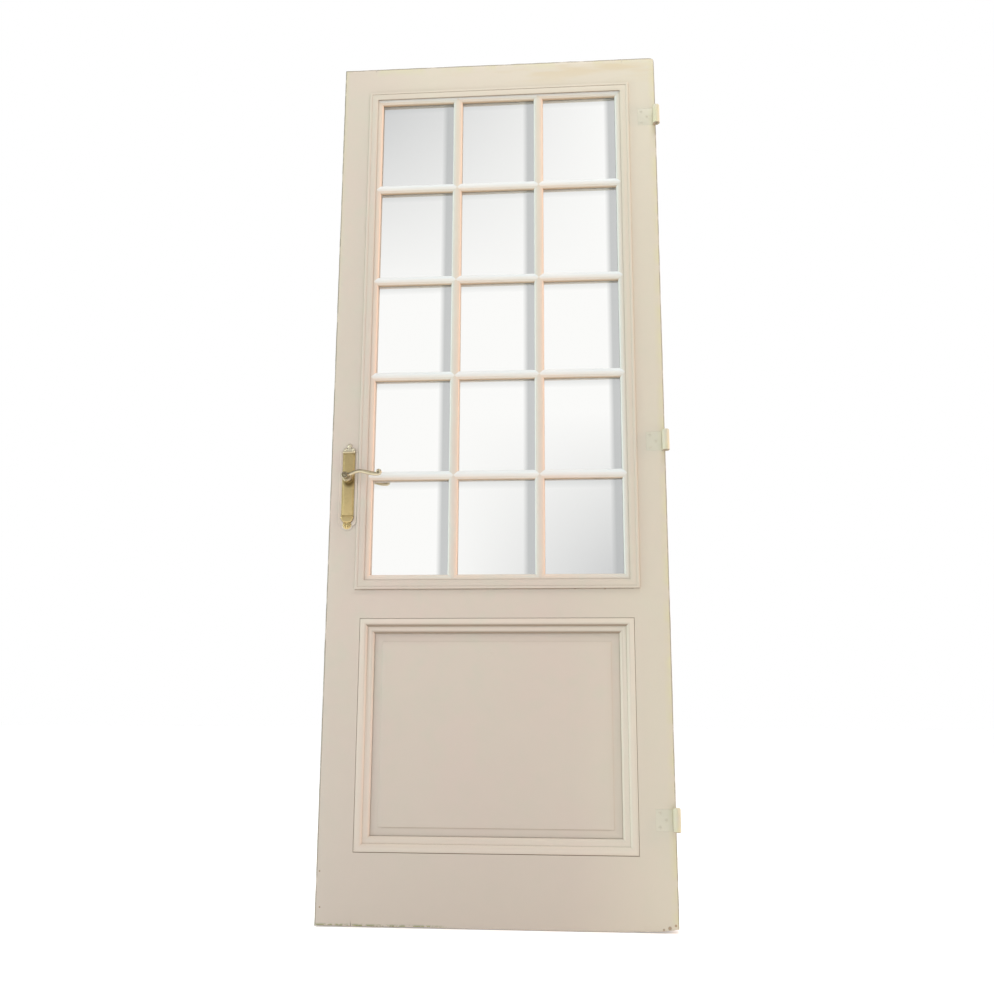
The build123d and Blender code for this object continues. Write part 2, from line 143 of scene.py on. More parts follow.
def new_material(name: str) -> tuple[Material, Tree]:
    """Make an empty node material.

    Args:
        name: Name of the finish.

    Returns:
        The material and its cleared node tree.
    """
    material = bpy.data.materials.new(name)
    material.use_nodes = True
    material.node_tree.nodes.clear()
    return material, material.node_tree


def per_mm(size_mm: float) -> float:
    """Noise scale that gives features of this size on coordinates in metres."""
    return 1000.0 / size_mm


def make_active(piece: Piece) -> None:
    """Select one piece alone and make it the active one.

    Args:
        piece: Piece to work on.
    """
    bpy.ops.object.select_all(action="DESELECT")
    piece.select_set(True)
    bpy.context.view_layer.objects.active = piece


@contextmanager
def editing(piece: Piece) -> Iterator[None]:
    """Work on one piece in edit mode, starting with all its faces selected.

    Args:
        piece: Piece to edit.
    """
    make_active(piece)
    bpy.ops.object.mode_set(mode="EDIT")
    bpy.ops.mesh.select_mode(type="FACE")
    bpy.ops.mesh.select_all(action="SELECT")
    yield
    bpy.ops.object.mode_set(mode="OBJECT")


def settle(name: str, scale: Sequence[float] = (1.0, 1.0, 1.0)) -> Piece:
    """Name the primitive just added, size it and move its place into its mesh.

    Args:
        name: Name of the piece.
        scale: Size along its own axes, against the primitive's.

    Returns:
        The piece, at the origin, unturned and unscaled.
    """
    piece = bpy.context.active_object
    make_active(piece)
    piece.name = name
    piece.data.name = name
    piece.scale = [a * b for a, b in zip(piece.scale, scale)]
    bpy.ops.object.transform_apply(location=True, rotation=True, scale=True)
    return piece


def add_block(name: str, low: Vector, high: Vector) -> Piece:
    """Start a piece as a block between its lowest and its highest corner, in metres."""
    bpy.ops.mesh.primitive_cube_add(size=1, location=(low + high) / 2, scale=high - low)
    return settle(name)


@dataclass
class Opening:
    """An upright rectangle in the plane of the leaf, in metres."""

    left: float
    bottom: float
    right: float
    top: float

    def grown(self, amount: float) -> "Opening":
        """The same rectangle, larger all round by an amount in metres."""
        return Opening(self.left - amount, self.bottom - amount, self.right + amount, self.top + amount)

    def holds(self, place: Vector) -> bool:
        """Whether a point lies within the rectangle, seen from the front."""
        return self.left < place.x < self.right and self.bottom < place.z < self.top

    def covers(self, face: Face) -> bool:
        """Whether the middle of a face lies within the rectangle, seen from the front."""
        return self.holds(face.calc_center_median())

    def plate(self, name: str, depth: float, side: Side) -> Piece:
        """Start a piece as this rectangle at a depth, facing out of one side of the leaf.

        Args:
            name: Name of the piece.
            depth: Its place along Y in metres.
            side: Side that it faces.

        Returns:
            The flat plate.
        """
        bpy.ops.mesh.primitive_plane_add(
            size=1,
            location=((self.left + self.right) / 2, depth, (self.bottom + self.top) / 2),
            rotation=(math.radians(-90 * side.value), 0, 0),
        )
        return settle(name, (self.right - self.left, self.top - self.bottom, 1))


def pick(piece: Piece, test: Callable, kind: str = "FACE") -> None:
    """Select the elements of a piece in edit mode that pass a test.

    Args:
        piece: Piece in edit mode.
        test: Says of a face, edge or vertex whether it is selected.
        kind: FACE, EDGE or VERT.
    """
    bpy.ops.mesh.select_mode(type=kind)
    bpy.ops.mesh.select_all(action="DESELECT")
    mesh = bmesh.from_edit_mesh(piece.data)
    mesh.normal_update()
    for element in {"FACE": mesh.faces, "EDGE": mesh.edges, "VERT": mesh.verts}[kind]:
        if test(element):
            element.select_set(True)
    mesh.select_flush_mode()
    bmesh.update_edit_mesh(piece.data)


def move_by_station(piece: Piece, test: Callable, shift: Callable[[float], Vector]) -> None:
    """Move vertices of a piece in edit mode, all at one place across the leaf together.

    Args:
        piece: Piece in edit mode.
        test: Says of a vertex whether it moves.
        shift: Gives the move for a place along X, both in metres.
    """
    mesh = bmesh.from_edit_mesh(piece.data)
    for station in sorted({round(v.co.x, 5) for v in mesh.verts if test(v)}):
        pick(piece, lambda v: abs(v.co.x - station) < TOUCH and test(v), "VERT")
        bpy.ops.transform.translate(value=shift(station))


def middle(edge: Edge) -> Vector:
    """Middle of an edge."""
    return (edge.verts[0].co + edge.verts[1].co) / 2


def push(vector: Sequence[float]) -> None:
    """Extrude the selected faces along a vector in metres."""
    bpy.ops.mesh.extrude_region_move(TRANSFORM_OT_translate={"value": tuple(vector)})


def step_in(steps: Iterable[Step], side: Side) -> None:
    """Carry a mitred profile inwards from the selected faces, one run of the plane at a time.

    Args:
        steps: Moves in millimetres, each as inwards and out of the leaf.
        side: Side of the leaf that the faces look out of.
    """
    for inwards, outwards in steps:
        if inwards:
            bpy.ops.mesh.inset(
                thickness=inwards * MM, depth=outwards * MM, use_individual=True, use_even_offset=True
            )
        else:
            push((0, side.value * outwards * MM, 0))


def moves(points: Sequence[Step]) -> list[Step]:
    """Steps from each point of a profile to the next."""
    return [(b[0] - a[0], b[1] - a[1]) for a, b in zip(points, points[1:])]


def convex(across: float, drop: float, turn_deg: float, bands: int) -> list[Step]:
    """Steps along a round that starts level and turns down into the leaf.

    Args:
        across: Width of the round in millimetres.
        drop: Its fall in millimetres.
        turn_deg: Angle that it turns through.
        bands: Number of flats that it is made with.

    Returns:
        Steps inwards and outwards.
    """
    turn = math.radians(turn_deg)
    angles = [turn * band / bands for band in range(bands + 1)]
    wide, high = math.sin(turn), 1 - math.cos(turn)
    return moves([(across * math.sin(a) / wide, -drop * (1 - math.cos(a)) / high) for a in angles])


def bulge(across: float, rise: float, bands: int) -> list[Step]:
    """Steps over a low round of this width and height in millimetres, from one edge to the other."""
    shares = [band / bands for band in range(bands + 1)]
    return moves([(across * share, rise * math.sin(math.pi * share)) for share in shares])


def slice_up(piece: Piece, places: Iterable[float], axis: int, test: Callable | None = None) -> None:
    """Cut faces of a piece in edit mode along planes square to an axis.

    Args:
        piece: Piece in edit mode.
        places: Where the planes lie along the axis, in metres.
        axis: 0 for X, 1 for Y, 2 for Z.
        test: Faces that are cut, all by default.
    """
    direction = Vector([float(axis == number) for number in range(3)])
    for place in places:
        pick(piece, test or (lambda face: True))
        bpy.ops.mesh.bisect(plane_co=direction * place, plane_no=direction)


def between(low: float, high: float, pace: float) -> list[float]:
    """Places inside a span at an even pace near the one asked for."""
    count = max(1, round((high - low) / pace))
    return [low + (high - low) * number / count for number in range(1, count)]


def close_up(piece: Piece) -> None:
    """Merge a piece's doubles and turn its faces outwards.

    Args:
        piece: Piece to close.
    """
    with editing(piece):
        bpy.ops.mesh.remove_doubles(threshold=TOUCH)
        bpy.ops.mesh.normals_make_consistent(inside=False)


def mitred_ring(
    name: str, edge: Opening, depth: float, side: Side, steps: Iterable[Step], pace: float | None = None
) -> Piece:
    """Carry a profile round an opening as one mitred ring, closed at its foot.

    Args:
        name: Name of the ring.
        edge: Outer edge of the ring.
        depth: Place along Y where it starts, in metres.
        side: Side of the leaf that it looks out of.
        steps: Its profile from the outer edge, in millimetres.
        pace: Length in millimetres of the spans that it is cut into, if it is.

    Returns:
        The ring.
    """
    piece = edge.plate(name, depth, side)
    with editing(piece):
        step_in(steps, side)
        bpy.ops.mesh.delete(type="ONLY_FACE")
        pick(piece, lambda f: abs(f.calc_center_median().y - depth) < TOUCH and abs(f.normal.y) > SQUARE)
        bpy.ops.mesh.delete(type="ONLY_FACE")
        pick(piece, lambda e: e.is_boundary, "EDGE")
        bpy.ops.mesh.bridge_edge_loops()
        if pace:
            slice_up(piece, between(edge.bottom, edge.top, pace * MM), 2)
            slice_up(piece, between(edge.left, edge.right, pace * MM), 0)
    close_up(piece)
    return piece


def smooth(piece: Piece, angle: float = 32.0) -> None:
    """Shade a piece smooth across edges flatter than an angle in degrees."""
    make_active(piece)
    bpy.ops.object.shade_smooth_by_angle(angle=math.radians(angle))


def changed(piece: Piece, kind: str, **settings: object) -> None:
    """Change a piece for good by one modifier.

    Args:
        piece: Piece to change.
        kind: Blender's name for the modifier's type.
        settings: Properties of the modifier.
    """
    make_active(piece)
    bpy.ops.object.modifier_add(type=kind)
    modifier = piece.modifiers[-1]
    for name, value in settings.items():
        setattr(modifier, name, value)
    bpy.ops.object.modifier_apply(modifier=modifier.name)


def soften(piece: Piece, width: float, segments: int = 2, angle: float = 35.0) -> None:
    """Round a piece's sharp edges the way coats of paint or use round them.

    Args:
        piece: Piece to round.
        width: Width of the rounding in millimetres.
        segments: Flats in each rounding.
        angle: Least angle in degrees of an edge that is rounded.
    """
    changed(
        piece, "BEVEL", width=width * MM, segments=segments, limit_method="ANGLE",
        angle_limit=math.radians(angle), use_clamp_overlap=True,
    )
    with editing(piece):
        bpy.ops.mesh.remove_doubles(threshold=TOUCH)
    smooth(piece)


def wear(
    piece: Piece,
    name: str,
    test: Callable[[Vector], bool],
    grain: float,
    depth: float,
    way: str = "NORMAL",
    level: float = 1.0,
) -> None:
    """Wear part of a piece unevenly.

    Args:
        piece: Piece to wear.
        name: Name of the worn zone.
        test: Says of a point whether it is worn.
        grain: Size of the unevenness in millimetres.
        depth: Greatest wear in millimetres.
        way: Direction of Blender's Displace modifier.
        level: Middle level of the unevenness, 1 to wear inwards and 0.5 to wear both ways.
    """
    zone = piece.vertex_groups.new(name=name)
    zone.add([v.index for v in piece.data.vertices if test(v.co)], 1.0, "REPLACE")
    unevenness = bpy.data.textures.new(name, type="CLOUDS")
    unevenness.noise_scale = grain * MM
    unevenness.noise_depth = 2
    changed(
        piece, "DISPLACE", texture=unevenness, texture_coords="LOCAL", direction=way,
        strength=depth * MM, mid_level=level, vertex_group=zone.name,
    )


def cut_away(piece: Piece, cutters: Sequence[Piece]) -> None:
    """Take the shapes of other pieces out of a piece, and remove them.

    Args:
        piece: Piece that is cut.
        cutters: Closed shapes to take out.
    """
    for cutter in cutters:
        changed(piece, "BOOLEAN", operation="DIFFERENCE", solver="EXACT", object=cutter)
        bpy.data.objects.remove(cutter)


def joined(pieces: Sequence[Piece], name: str) -> Piece:
    """Join pieces into one.

    Args:
        pieces: Pieces to join.
        name: Name of the result.

    Returns:
        The joined piece.
    """
    make_active(pieces[0])
    for piece in pieces[1:]:
        piece.select_set(True)
    bpy.ops.object.join()
    whole = bpy.context.active_object
    whole.name = name
    whole.data.name = name
    return whole


def copied(piece: Piece, name: str, change: Matrix) -> Piece:
    """Copy a piece with its own mesh to another place.

    Args:
        piece: Piece to copy.
        name: Name of the copy.
        change: Move, turn or mirror from the piece to its copy.

    Returns:
        The copy, at the origin.
    """
    make_active(piece)
    bpy.ops.object.duplicate(linked=False)
    copy = bpy.context.active_object
    copy.matrix_world = change
    copy = settle(name)
    if change.determinant() < 0:
        close_up(copy)
    return copy


def turned(name: str, foot: Vector, axis: Vector, stations: Sequence[Step], sides: int = 40) -> Piece:
    """Turn a round piece ring by ring from a filled circle.

    Args:
        name: Name of the piece.
        foot: Point on the axis that distances are measured from, in metres.
        axis: Direction of the axis.
        stations: Distance along the axis and radius of each ring, in millimetres.
        sides: Flats round the piece.

    Returns:
        The turned piece.
    """
    direction = axis.normalized()
    first, radius = stations[0]
    bpy.ops.mesh.primitive_circle_add(
        vertices=sides,
        radius=max(radius, TOUCH) * MM,
        fill_type="NGON",
        location=foot + direction * first * MM,
        rotation=direction.to_track_quat("Z", "Y").to_euler(),
    )
    piece = settle(name)
    with editing(piece):
        for (near, before), (far, after) in zip(stations, stations[1:]):
            push(direction * (far - near) * MM)
            ratio = after / max(before, TOUCH)
            if ratio != 1:
                bpy.ops.transform.resize(value=(ratio,) * 3, center_override=foot + direction * far * MM)
    close_up(piece)
    smooth(piece)
    return piece


LEAF_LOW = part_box("lock_stile")[0]
LEAF_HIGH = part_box("hinge_stile")[1]
FRONT_FACE = LEAF_LOW.y
BACK_FACE = LEAF_HIGH.y
FACES = {Side.FRONT: FRONT_FACE, Side.BACK: BACK_FACE}
MARKS = {Side.FRONT: "", Side.BACK: "back_"}


def at(across: float, depth: float, height: float) -> Vector:
    """Point of the leaf, in millimetres from its left edge, front face and foot."""
    return Vector((LEAF_LOW.x + across * MM, FRONT_FACE + depth * MM, LEAF_LOW.z + height * MM))


def opening_at(left: float, foot: float, right: float, top: float) -> Opening:
    """Rectangle on the leaf, in millimetres from its left edge and foot."""
    low, high = at(left, 0, foot), at(right, 0, top)
    return Opening(low.x, low.z, high.x, high.z)


PANEL_OPENING = opening_at(85.0, 163.0, 745.0, 703.5)
SURROUND = opening_at(70.0, 773.0, 760.0, 2115.0)
RAIL_OPENING = SURROUND.grown(-15 * MM)
SIGHT = RAIL_OPENING.grown(-21.5 * MM)
FACEPLATE = (at(0, 8, 975), at(3, 28, 1125))
LATCH_BOLT = (at(0, 13, 1042), at(25, 23, 1058))


def eased_block(name: str, block: Corners, before: float, around: float, beyond: float) -> Piece:
    """Start a piece as a block wider than another, to cut the other's recess with.

    Args:
        name: Name of the piece.
        block: Lowest and highest corner of the other, in metres.
        before: How far it stands out towards the left, in millimetres.
        around: How far it stands out along Y and Z.
        beyond: How far it stands out towards the right.

    Returns:
        The block.
    """
    low, high = block
    ease = Vector((0, around, around)) * MM
    return add_block(name, low - ease + LEFT * before * MM, high + ease + RIGHT * beyond * MM)


def runs_upright(mesh: bpy.types.Mesh, face: bpy.types.MeshPolygon) -> bool:
    """Whether the longest edge of a face stands more than it lies.

    Args:
        mesh: Mesh that the face belongs to.
        face: Face to judge.

    Returns:
        True for a face of an upright.
    """
    spans = [mesh.vertices[end].co - mesh.vertices[start].co for start, end in face.edge_keys]
    longest = max(spans, key=lambda span: span.length)
    return abs(longest.z) > abs(longest.x)


def finish_piece(
    piece: Piece, nodes: Sequence[str], materials: Sequence[Material], body: str = "leaf"
) -> None:
    """Dress a finished piece and say what it rides on and stands for.

    Args:
        piece: Finished piece.
        nodes: CAD nodes that it stands for.
        materials: Its finish, or the upright and the across one for a frame of both.
        body: Body that it moves with.
    """
    piece.data.materials.clear()
    for material in materials:
        piece.data.materials.append(material)
    if len(materials) > 1:
        for face in piece.data.polygons:
            face.material_index = 0 if runs_upright(piece.data, face) else 1
    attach(piece, body)
    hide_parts(*nodes)
    log.info("%s: %d faces, rides %s, for %s", piece.name, len(piece.data.polygons), body, ", ".join(nodes))


def sticks(stem: str) -> list[str]:
    """Names of the four sticks of a moulding."""
    return [f"{stem}_{edge}" for edge in ("left", "right", "top", "bottom")]


@dataclass
class Paints:
    """The leaf's paint, brushed along the uprights and along the rails."""

    upright: Material
    across: Material

    @property
    def both(self) -> list[Material]:
        """The two, for a frame with uprights and rails."""
        return [self.upright, self.across]


@dataclass
class LeafFrame:
    """Stiles and rails, flush and painted as one, with worn arrises and an eaten foot."""

    members: ClassVar[dict[str, tuple[Run, tuple[Vector, ...]]]] = {
        "lock_stile": (Run.UPRIGHT, (LEFT, UP, DOWN)),
        "hinge_stile": (Run.UPRIGHT, (RIGHT, UP, DOWN)),
        "top_rail": (Run.ACROSS, (UP,)),
        "lock_rail": (Run.ACROSS, ()),
        "bottom_rail": (Run.ACROSS, (DOWN,)),
    }
    paints: Paints
    arris: float = 1.6
    arris_bands: int = 3
    arris_wear: float = 1.5
    wear_grain: float = 30.0
    pace_along: float = 20.0
    pace_across: float = 12.0
    worn_corner: float = 12.0
    corner_bands: int = 6
    foot_rise: tuple[Step, ...] = (
        (0, 1.0), (18, 1.6), (150, 1.0), (268, 1.8), (283, 0.8),
        (420, 0.7), (590, 0.0), (700, 0.3), (790, 3.5), (830, 8.0),
    )
    ragged_to: float = 275.0
    ragged_rise: float = 1.3
    ragged_beyond: float = 0.3
    ragged_waves: Spot = (0.37, 0.083, 0.6)
    smooth_below: float = 28.0
    sharp: float = 1.0
    outward: float = 0.6
    ease: float = 0.05
    bore_radius: float = 6.0

    def rise_at(self, station: float) -> Vector:
        """Follow the line that the foot is eaten away to.

        Args:
            station: Place along X, in metres.

        Returns:
            Move from the sound foot up to that line, in metres.
        """
        across = (station - LEAF_LOW.x) / MM
        quick, slow, shift = self.ragged_waves
        for (start, low), (end, high) in zip(self.foot_rise, self.foot_rise[1:]):
            if start <= across <= end:
                rise = low + (high - low) * (across - start) / (end - start)
                ragged = self.ragged_rise * abs(math.sin(across * quick) * math.sin(across * slow + shift))
                return UP * (rise + ragged * (1.0 if across < self.ragged_to else self.ragged_beyond)) * MM
        return UP * self.foot_rise[-1][1] * MM

    def near_outline(self, place: Vector) -> bool:
        """Whether a point lies in the worn band along the leaf's outline.

        Args:
            place: Point on a member.

        Returns:
            True where it is worn.
        """
        reach = 2 * self.arris * MM
        near_face = place.y < FRONT_FACE + reach or place.y > BACK_FACE - reach
        near_side = place.x < LEAF_LOW.x + reach or place.x > LEAF_HIGH.x - reach
        near_edge = near_side or place.z > LEAF_HIGH.z - reach
        return near_face and near_edge or place.z < LEAF_LOW.z + reach

    def member(self, node: str) -> Piece:
        """Shape one stile or rail.

        Args:
            node: CAD node that the member stands for.

        Returns:
            The shaped member, undressed.
        """
        run, open_sides = self.members[node]
        low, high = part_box(node)
        piece = add_block(f"{node}_timber", low, high)
        along, across = (2, 0) if run is Run.UPRIGHT else (0, 2)

        def on_outline(edge: Edge) -> bool:
            """Whether an edge is one of the leaf's own outer arrises.

            Args:
                edge: Edge of the member.

            Returns:
                True for an arris that is rounded.
            """
            if len(edge.link_faces) != 2 or edge.calc_face_angle(0.0) < self.sharp:
                return False
            outer = [any(f.normal.dot(side) > self.outward for side in open_sides) for f in edge.link_faces]
            flat = [abs(f.normal.y) > LEANING for f in edge.link_faces]
            return any(outer) and all(o or f for o, f in zip(outer, flat))

        with editing(piece):
            if node == "hinge_stile":
                pick(piece, lambda e: middle(e).x > high.x - TOUCH and middle(e).z > high.z - TOUCH, "EDGE")
                bpy.ops.mesh.bevel(offset=self.worn_corner * MM, segments=self.corner_bands, affect="EDGES")
            slice_up(piece, between(low[along], high[along], self.pace_along * MM), along)
            slice_up(piece, between(low[across], high[across], self.pace_across * MM), across)
            if DOWN in open_sides:
                move_by_station(piece, lambda v: v.co.z < LEAF_LOW.z + TOUCH, self.rise_at)
            pick(piece, on_outline, "EDGE")
            bpy.ops.mesh.bevel(offset=self.arris * MM, segments=self.arris_bands, affect="EDGES")
        if open_sides:
            wear(piece, f"{node}_arris", self.near_outline, self.wear_grain, self.arris_wear)
        return piece

    def recesses(self, node: str) -> list[Piece]:
        """Shapes that the recesses and bores of a member are cut with.

        Args:
            node: CAD node that the member stands for.

        Returns:
            A shape for each flap, or for the faceplate, the latch and the spindle.
        """
        if node == "hinge_stile":
            left, foot = Hinges.flap_left - self.ease, Hinges.flap_foot - self.ease
            top, deep = Hinges.flap_top + self.ease, Hinges.flap_thickness + self.ease
            return [
                add_block("flap_recess", at(left, -2, height + foot), at(832, deep, height + top))
                for height in Hinges.heights.values()
            ]
        if node == "lock_stile":
            bore = [(0, self.bore_radius), (46, self.bore_radius)]
            return [
                eased_block("faceplate_recess", FACEPLATE, 2.0, 0.2, 0.05),
                eased_block("bolt_bore", LATCH_BOLT, -2.0, 0.3, 0.1),
                turned("spindle_bore", at(HandleSet.across, -5, HandleSet.height), INTO, bore, 24),
            ]
        return []

    def build(self) -> None:
        """Build the five members with the recesses for hinges, latch and spindle."""
        for node, (run, _) in self.members.items():
            piece = self.member(node)
            cut_away(piece, self.recesses(node))
            smooth(piece, self.smooth_below)
            paint = self.paints.upright if run is Run.UPRIGHT else self.paints.across
            finish_piece(piece, [node], [paint])


@dataclass
class GlazingSurround:
    """Raised band mitred round the glazing, on each face of the leaf."""

    paints: Paints
    rise: float = 5.0
    width: float = 23.0
    fillet: float = 7.0
    step: float = 1.0
    bands: int = 6
    pace: float = 30.0
    rounding: float = 0.55
    wear_grain: float = 45.0
    wear_depth: float = 0.7

    def section(self) -> list[Step]:
        """Steps of the band's section, from its outer foot to its inner one.

        Returns:
            Moves inwards and outwards.
        """
        low_rise = self.rise - self.step
        steps = [(0.0, low_rise), (self.step, self.step), (self.fillet - self.step, 0.0), (0.0, -self.step)]
        return [*steps, *bulge(self.width - self.fillet, self.step, self.bands), (0.0, -low_rise)]

    def build(self) -> None:
        """Build both rings."""
        for side, mark in MARKS.items():
            stem = f"{mark}glazing_moulding"
            piece = mitred_ring(f"{stem}_band", SURROUND, FACES[side], side, self.section(), self.pace)
            soften(piece, self.rounding)
            wear(piece, f"{stem}_waves", lambda p: True, self.wear_grain, self.wear_depth)
            smooth(piece)
            finish_piece(piece, sticks(stem), self.paints.both)


@dataclass
class GlazingBars:
    """Bars between the panes, with the ovolo that runs on round the inside of the surround."""

    paints: Paints
    columns: int = 3
    rows: int = 5
    bar: float = 24.0
    stem: float = 9.0
    fillet_half: float = 6.0
    fillet_crown: float = 1.2
    crown_bands: int = 4
    quirk: float = 1.5
    ovolo: float = 6.0
    setback: float = 9.5
    back_of_bars: float = 33.0
    rebate: float = 7.5
    bands: int = 5
    rounding: float = 0.45

    @property
    def around(self) -> Opening:
        """Sight of the whole glazing with half a bar more all round."""
        return SIGHT.grown(self.bar / 2 * MM)

    def lines(self) -> tuple[list[float], list[float]]:
        """Middle lines of the bars between the outer lines of the grid.

        Returns:
            Places across the leaf and places up it, in metres, the outer ones first and last.
        """
        edge = self.around
        wide = (edge.right - edge.left) / self.columns
        high = (edge.top - edge.bottom) / self.rows
        across = [edge.left + number * wide for number in range(self.columns + 1)]
        return across, [edge.bottom + number * high for number in range(self.rows + 1)]

    def panes(self) -> list[list[Opening]]:
        """Sight of each pane.

        Returns:
            Rows from the top, each from the left.
        """
        across, levels = self.lines()
        half = self.bar / 2 * MM
        return [
            [Opening(left, low, right, high).grown(-half) for left, right in zip(across, across[1:])]
            for low, high in reversed(list(zip(levels, levels[1:])))
        ]

    def front(self) -> Piece:
        """Shape the front of the bars, from the fillet down the ovolo to the glass.

        Returns:
            The front, open towards the panes.
        """
        across, levels = self.lines()
        inner = self.around.covers
        piece = RAIL_OPENING.plate("bars_front", FRONT_FACE, Side.FRONT)
        with editing(piece):
            step_in([((self.around.left - RAIL_OPENING.left) / MM, 0.0)], Side.FRONT)
            slice_up(piece, across[1:-1], 0, inner)
            slice_up(piece, levels[1:-1], 2, inner)
            pick(piece, inner)
            crown_turn = 2 * math.degrees(math.atan(self.fillet_crown / self.fillet_half))
            steps = convex(self.fillet_half, self.fillet_crown, crown_turn, self.crown_bands)
            steps.append((0.0, self.fillet_crown - self.quirk))
            steps += convex(self.ovolo, self.ovolo, 90.0, self.bands)
            step_in([*steps, (0.0, self.quirk + self.ovolo - self.setback)], Side.FRONT)
            bpy.ops.mesh.delete(type="ONLY_FACE")
        return piece

    def back(self) -> Piece:
        """Shape the back of the bars, with the stems and the sides of the rebates.

        Returns:
            The back, open towards the panes.
        """
        across, levels = self.lines()
        inner_edge = SIGHT.grown(self.rebate * MM)
        cells = [pane.grown(self.rebate * MM) for row in self.panes() for pane in row]
        stem = self.stem / 2 * MM

        def inner(face: Face) -> bool:
            """Whether a face lies within the rebates and looks out of the back."""
            return face.normal.y > SQUARE and inner_edge.covers(face)

        piece = RAIL_OPENING.plate("bars_back", BACK_FACE, Side.BACK)
        with editing(piece):
            step_in([((inner_edge.left - RAIL_OPENING.left) / MM, 0.0)], Side.BACK)
            push((0, FRONT_FACE + self.back_of_bars * MM - BACK_FACE, 0))
            slice_up(piece, [line + way * stem for line in across[1:-1] for way in (-1, 1)], 0, inner)
            slice_up(piece, [level + way * stem for level in levels[1:-1] for way in (-1, 1)], 2, inner)
            pick(piece, lambda f: any(cell.covers(f) for cell in cells) and inner(f))
            push((0, (self.setback - self.back_of_bars) * MM, 0))
            bpy.ops.mesh.delete(type="ONLY_FACE")
        return piece

    def build(self) -> None:
        """Join front and back into one lattice and close its rebates."""
        piece = joined([self.front(), self.back()], "glazing_lattice")
        glass = FRONT_FACE + self.setback * MM
        cells = [pane.grown((self.rebate + 1) * MM) for row in self.panes() for pane in row]

        def at_glass(edge: Edge, cell: Opening) -> bool:
            """Whether an edge is an open one of a cell, at the glass."""
            return edge.is_boundary and abs(middle(edge).y - glass) < TOUCH and cell.holds(middle(edge))

        with editing(piece):
            for cell in cells:
                pick(piece, lambda e: at_glass(e, cell), "EDGE")
                bpy.ops.mesh.bridge_edge_loops()
            pick(piece, lambda e: e.is_boundary, "EDGE")
            bpy.ops.mesh.bridge_edge_loops()
        close_up(piece)
        soften(piece, self.rounding)
        nodes = ["glazing_bar_left", "glazing_bar_right"] + [f"cross_bars_{n}" for n in range(1, self.rows)]
        finish_piece(piece, nodes, self.paints.both)


@dataclass
class Glazing:
    """Panes of drawn glass and the beads that hold them from the back."""

    bars: GlazingBars
    paints: Paints
    glass: Material
    thickness: float = 3.0
    in_rebate: float = 6.0
    ground_edge: float = 0.4
    bead_depth: float = 17.0
    bead_width: float = 7.5
    bead_slope: float = 5.0
    bead_rounding: float = 0.5

    def pane(self, name: str, sight: Opening) -> Piece:
        """Cut one pane, its edges ground.

        Args:
            name: Name of the pane.
            sight: Part of it that shows.

        Returns:
            The pane.
        """
        ground = (self.ground_edge, self.ground_edge)
        start = FRONT_FACE + (self.bars.setback + self.thickness - self.ground_edge) * MM
        piece = sight.grown(self.in_rebate * MM).plate(name, start, Side.FRONT)
        with editing(piece):
            step_in([(0.0, self.thickness - 2 * self.ground_edge), ground], Side.FRONT)
            pick(piece, lambda f: f.normal.y > SQUARE or f.calc_center_median().y > start - TOUCH)
            step_in([ground], Side.BACK)
        close_up(piece)
        return piece

    def bead(self, name: str, sight: Opening) -> Piece:
        """Mitre four beads round the back of one pane.

        Args:
            name: Name of the ring of beads.
            sight: Part of the pane that shows.

        Returns:
            The ring.
        """
        slope = self.bead_slope
        steps = [(0.0, self.bead_depth), (self.bead_width - slope, 0.0), (slope, -slope)]
        steps += [(0.0, slope - self.bead_depth)]
        glass_back = FRONT_FACE + (self.bars.setback + self.thickness) * MM
        piece = mitred_ring(name, sight.grown(self.bead_width * MM), glass_back, Side.BACK, steps)
        soften(piece, self.bead_rounding)
        return piece

    def build(self) -> None:
        """Cut one pane and one ring of beads, and copy them to every opening."""
        rows = self.bars.panes()
        first = rows[0][0]
        pane, bead = self.pane("pane_1_1", first), self.bead("beads_1_1", first)
        for row_number, row in enumerate(rows, start=1):
            for number, sight in enumerate(row, start=1):
                here, beads = pane, bead
                if sight is not first:
                    move = Matrix.Translation((sight.left - first.left, 0, sight.bottom - first.bottom))
                    here = copied(pane, f"pane_{row_number}_{number}", move)
                    beads = copied(bead, f"beads_{row_number}_{number}", move)
                    smooth(beads)
                finish_piece(here, [f"glass_row_{row_number}"], [self.glass])
                finish_piece(beads, ["glazing_beads"], self.paints.both)


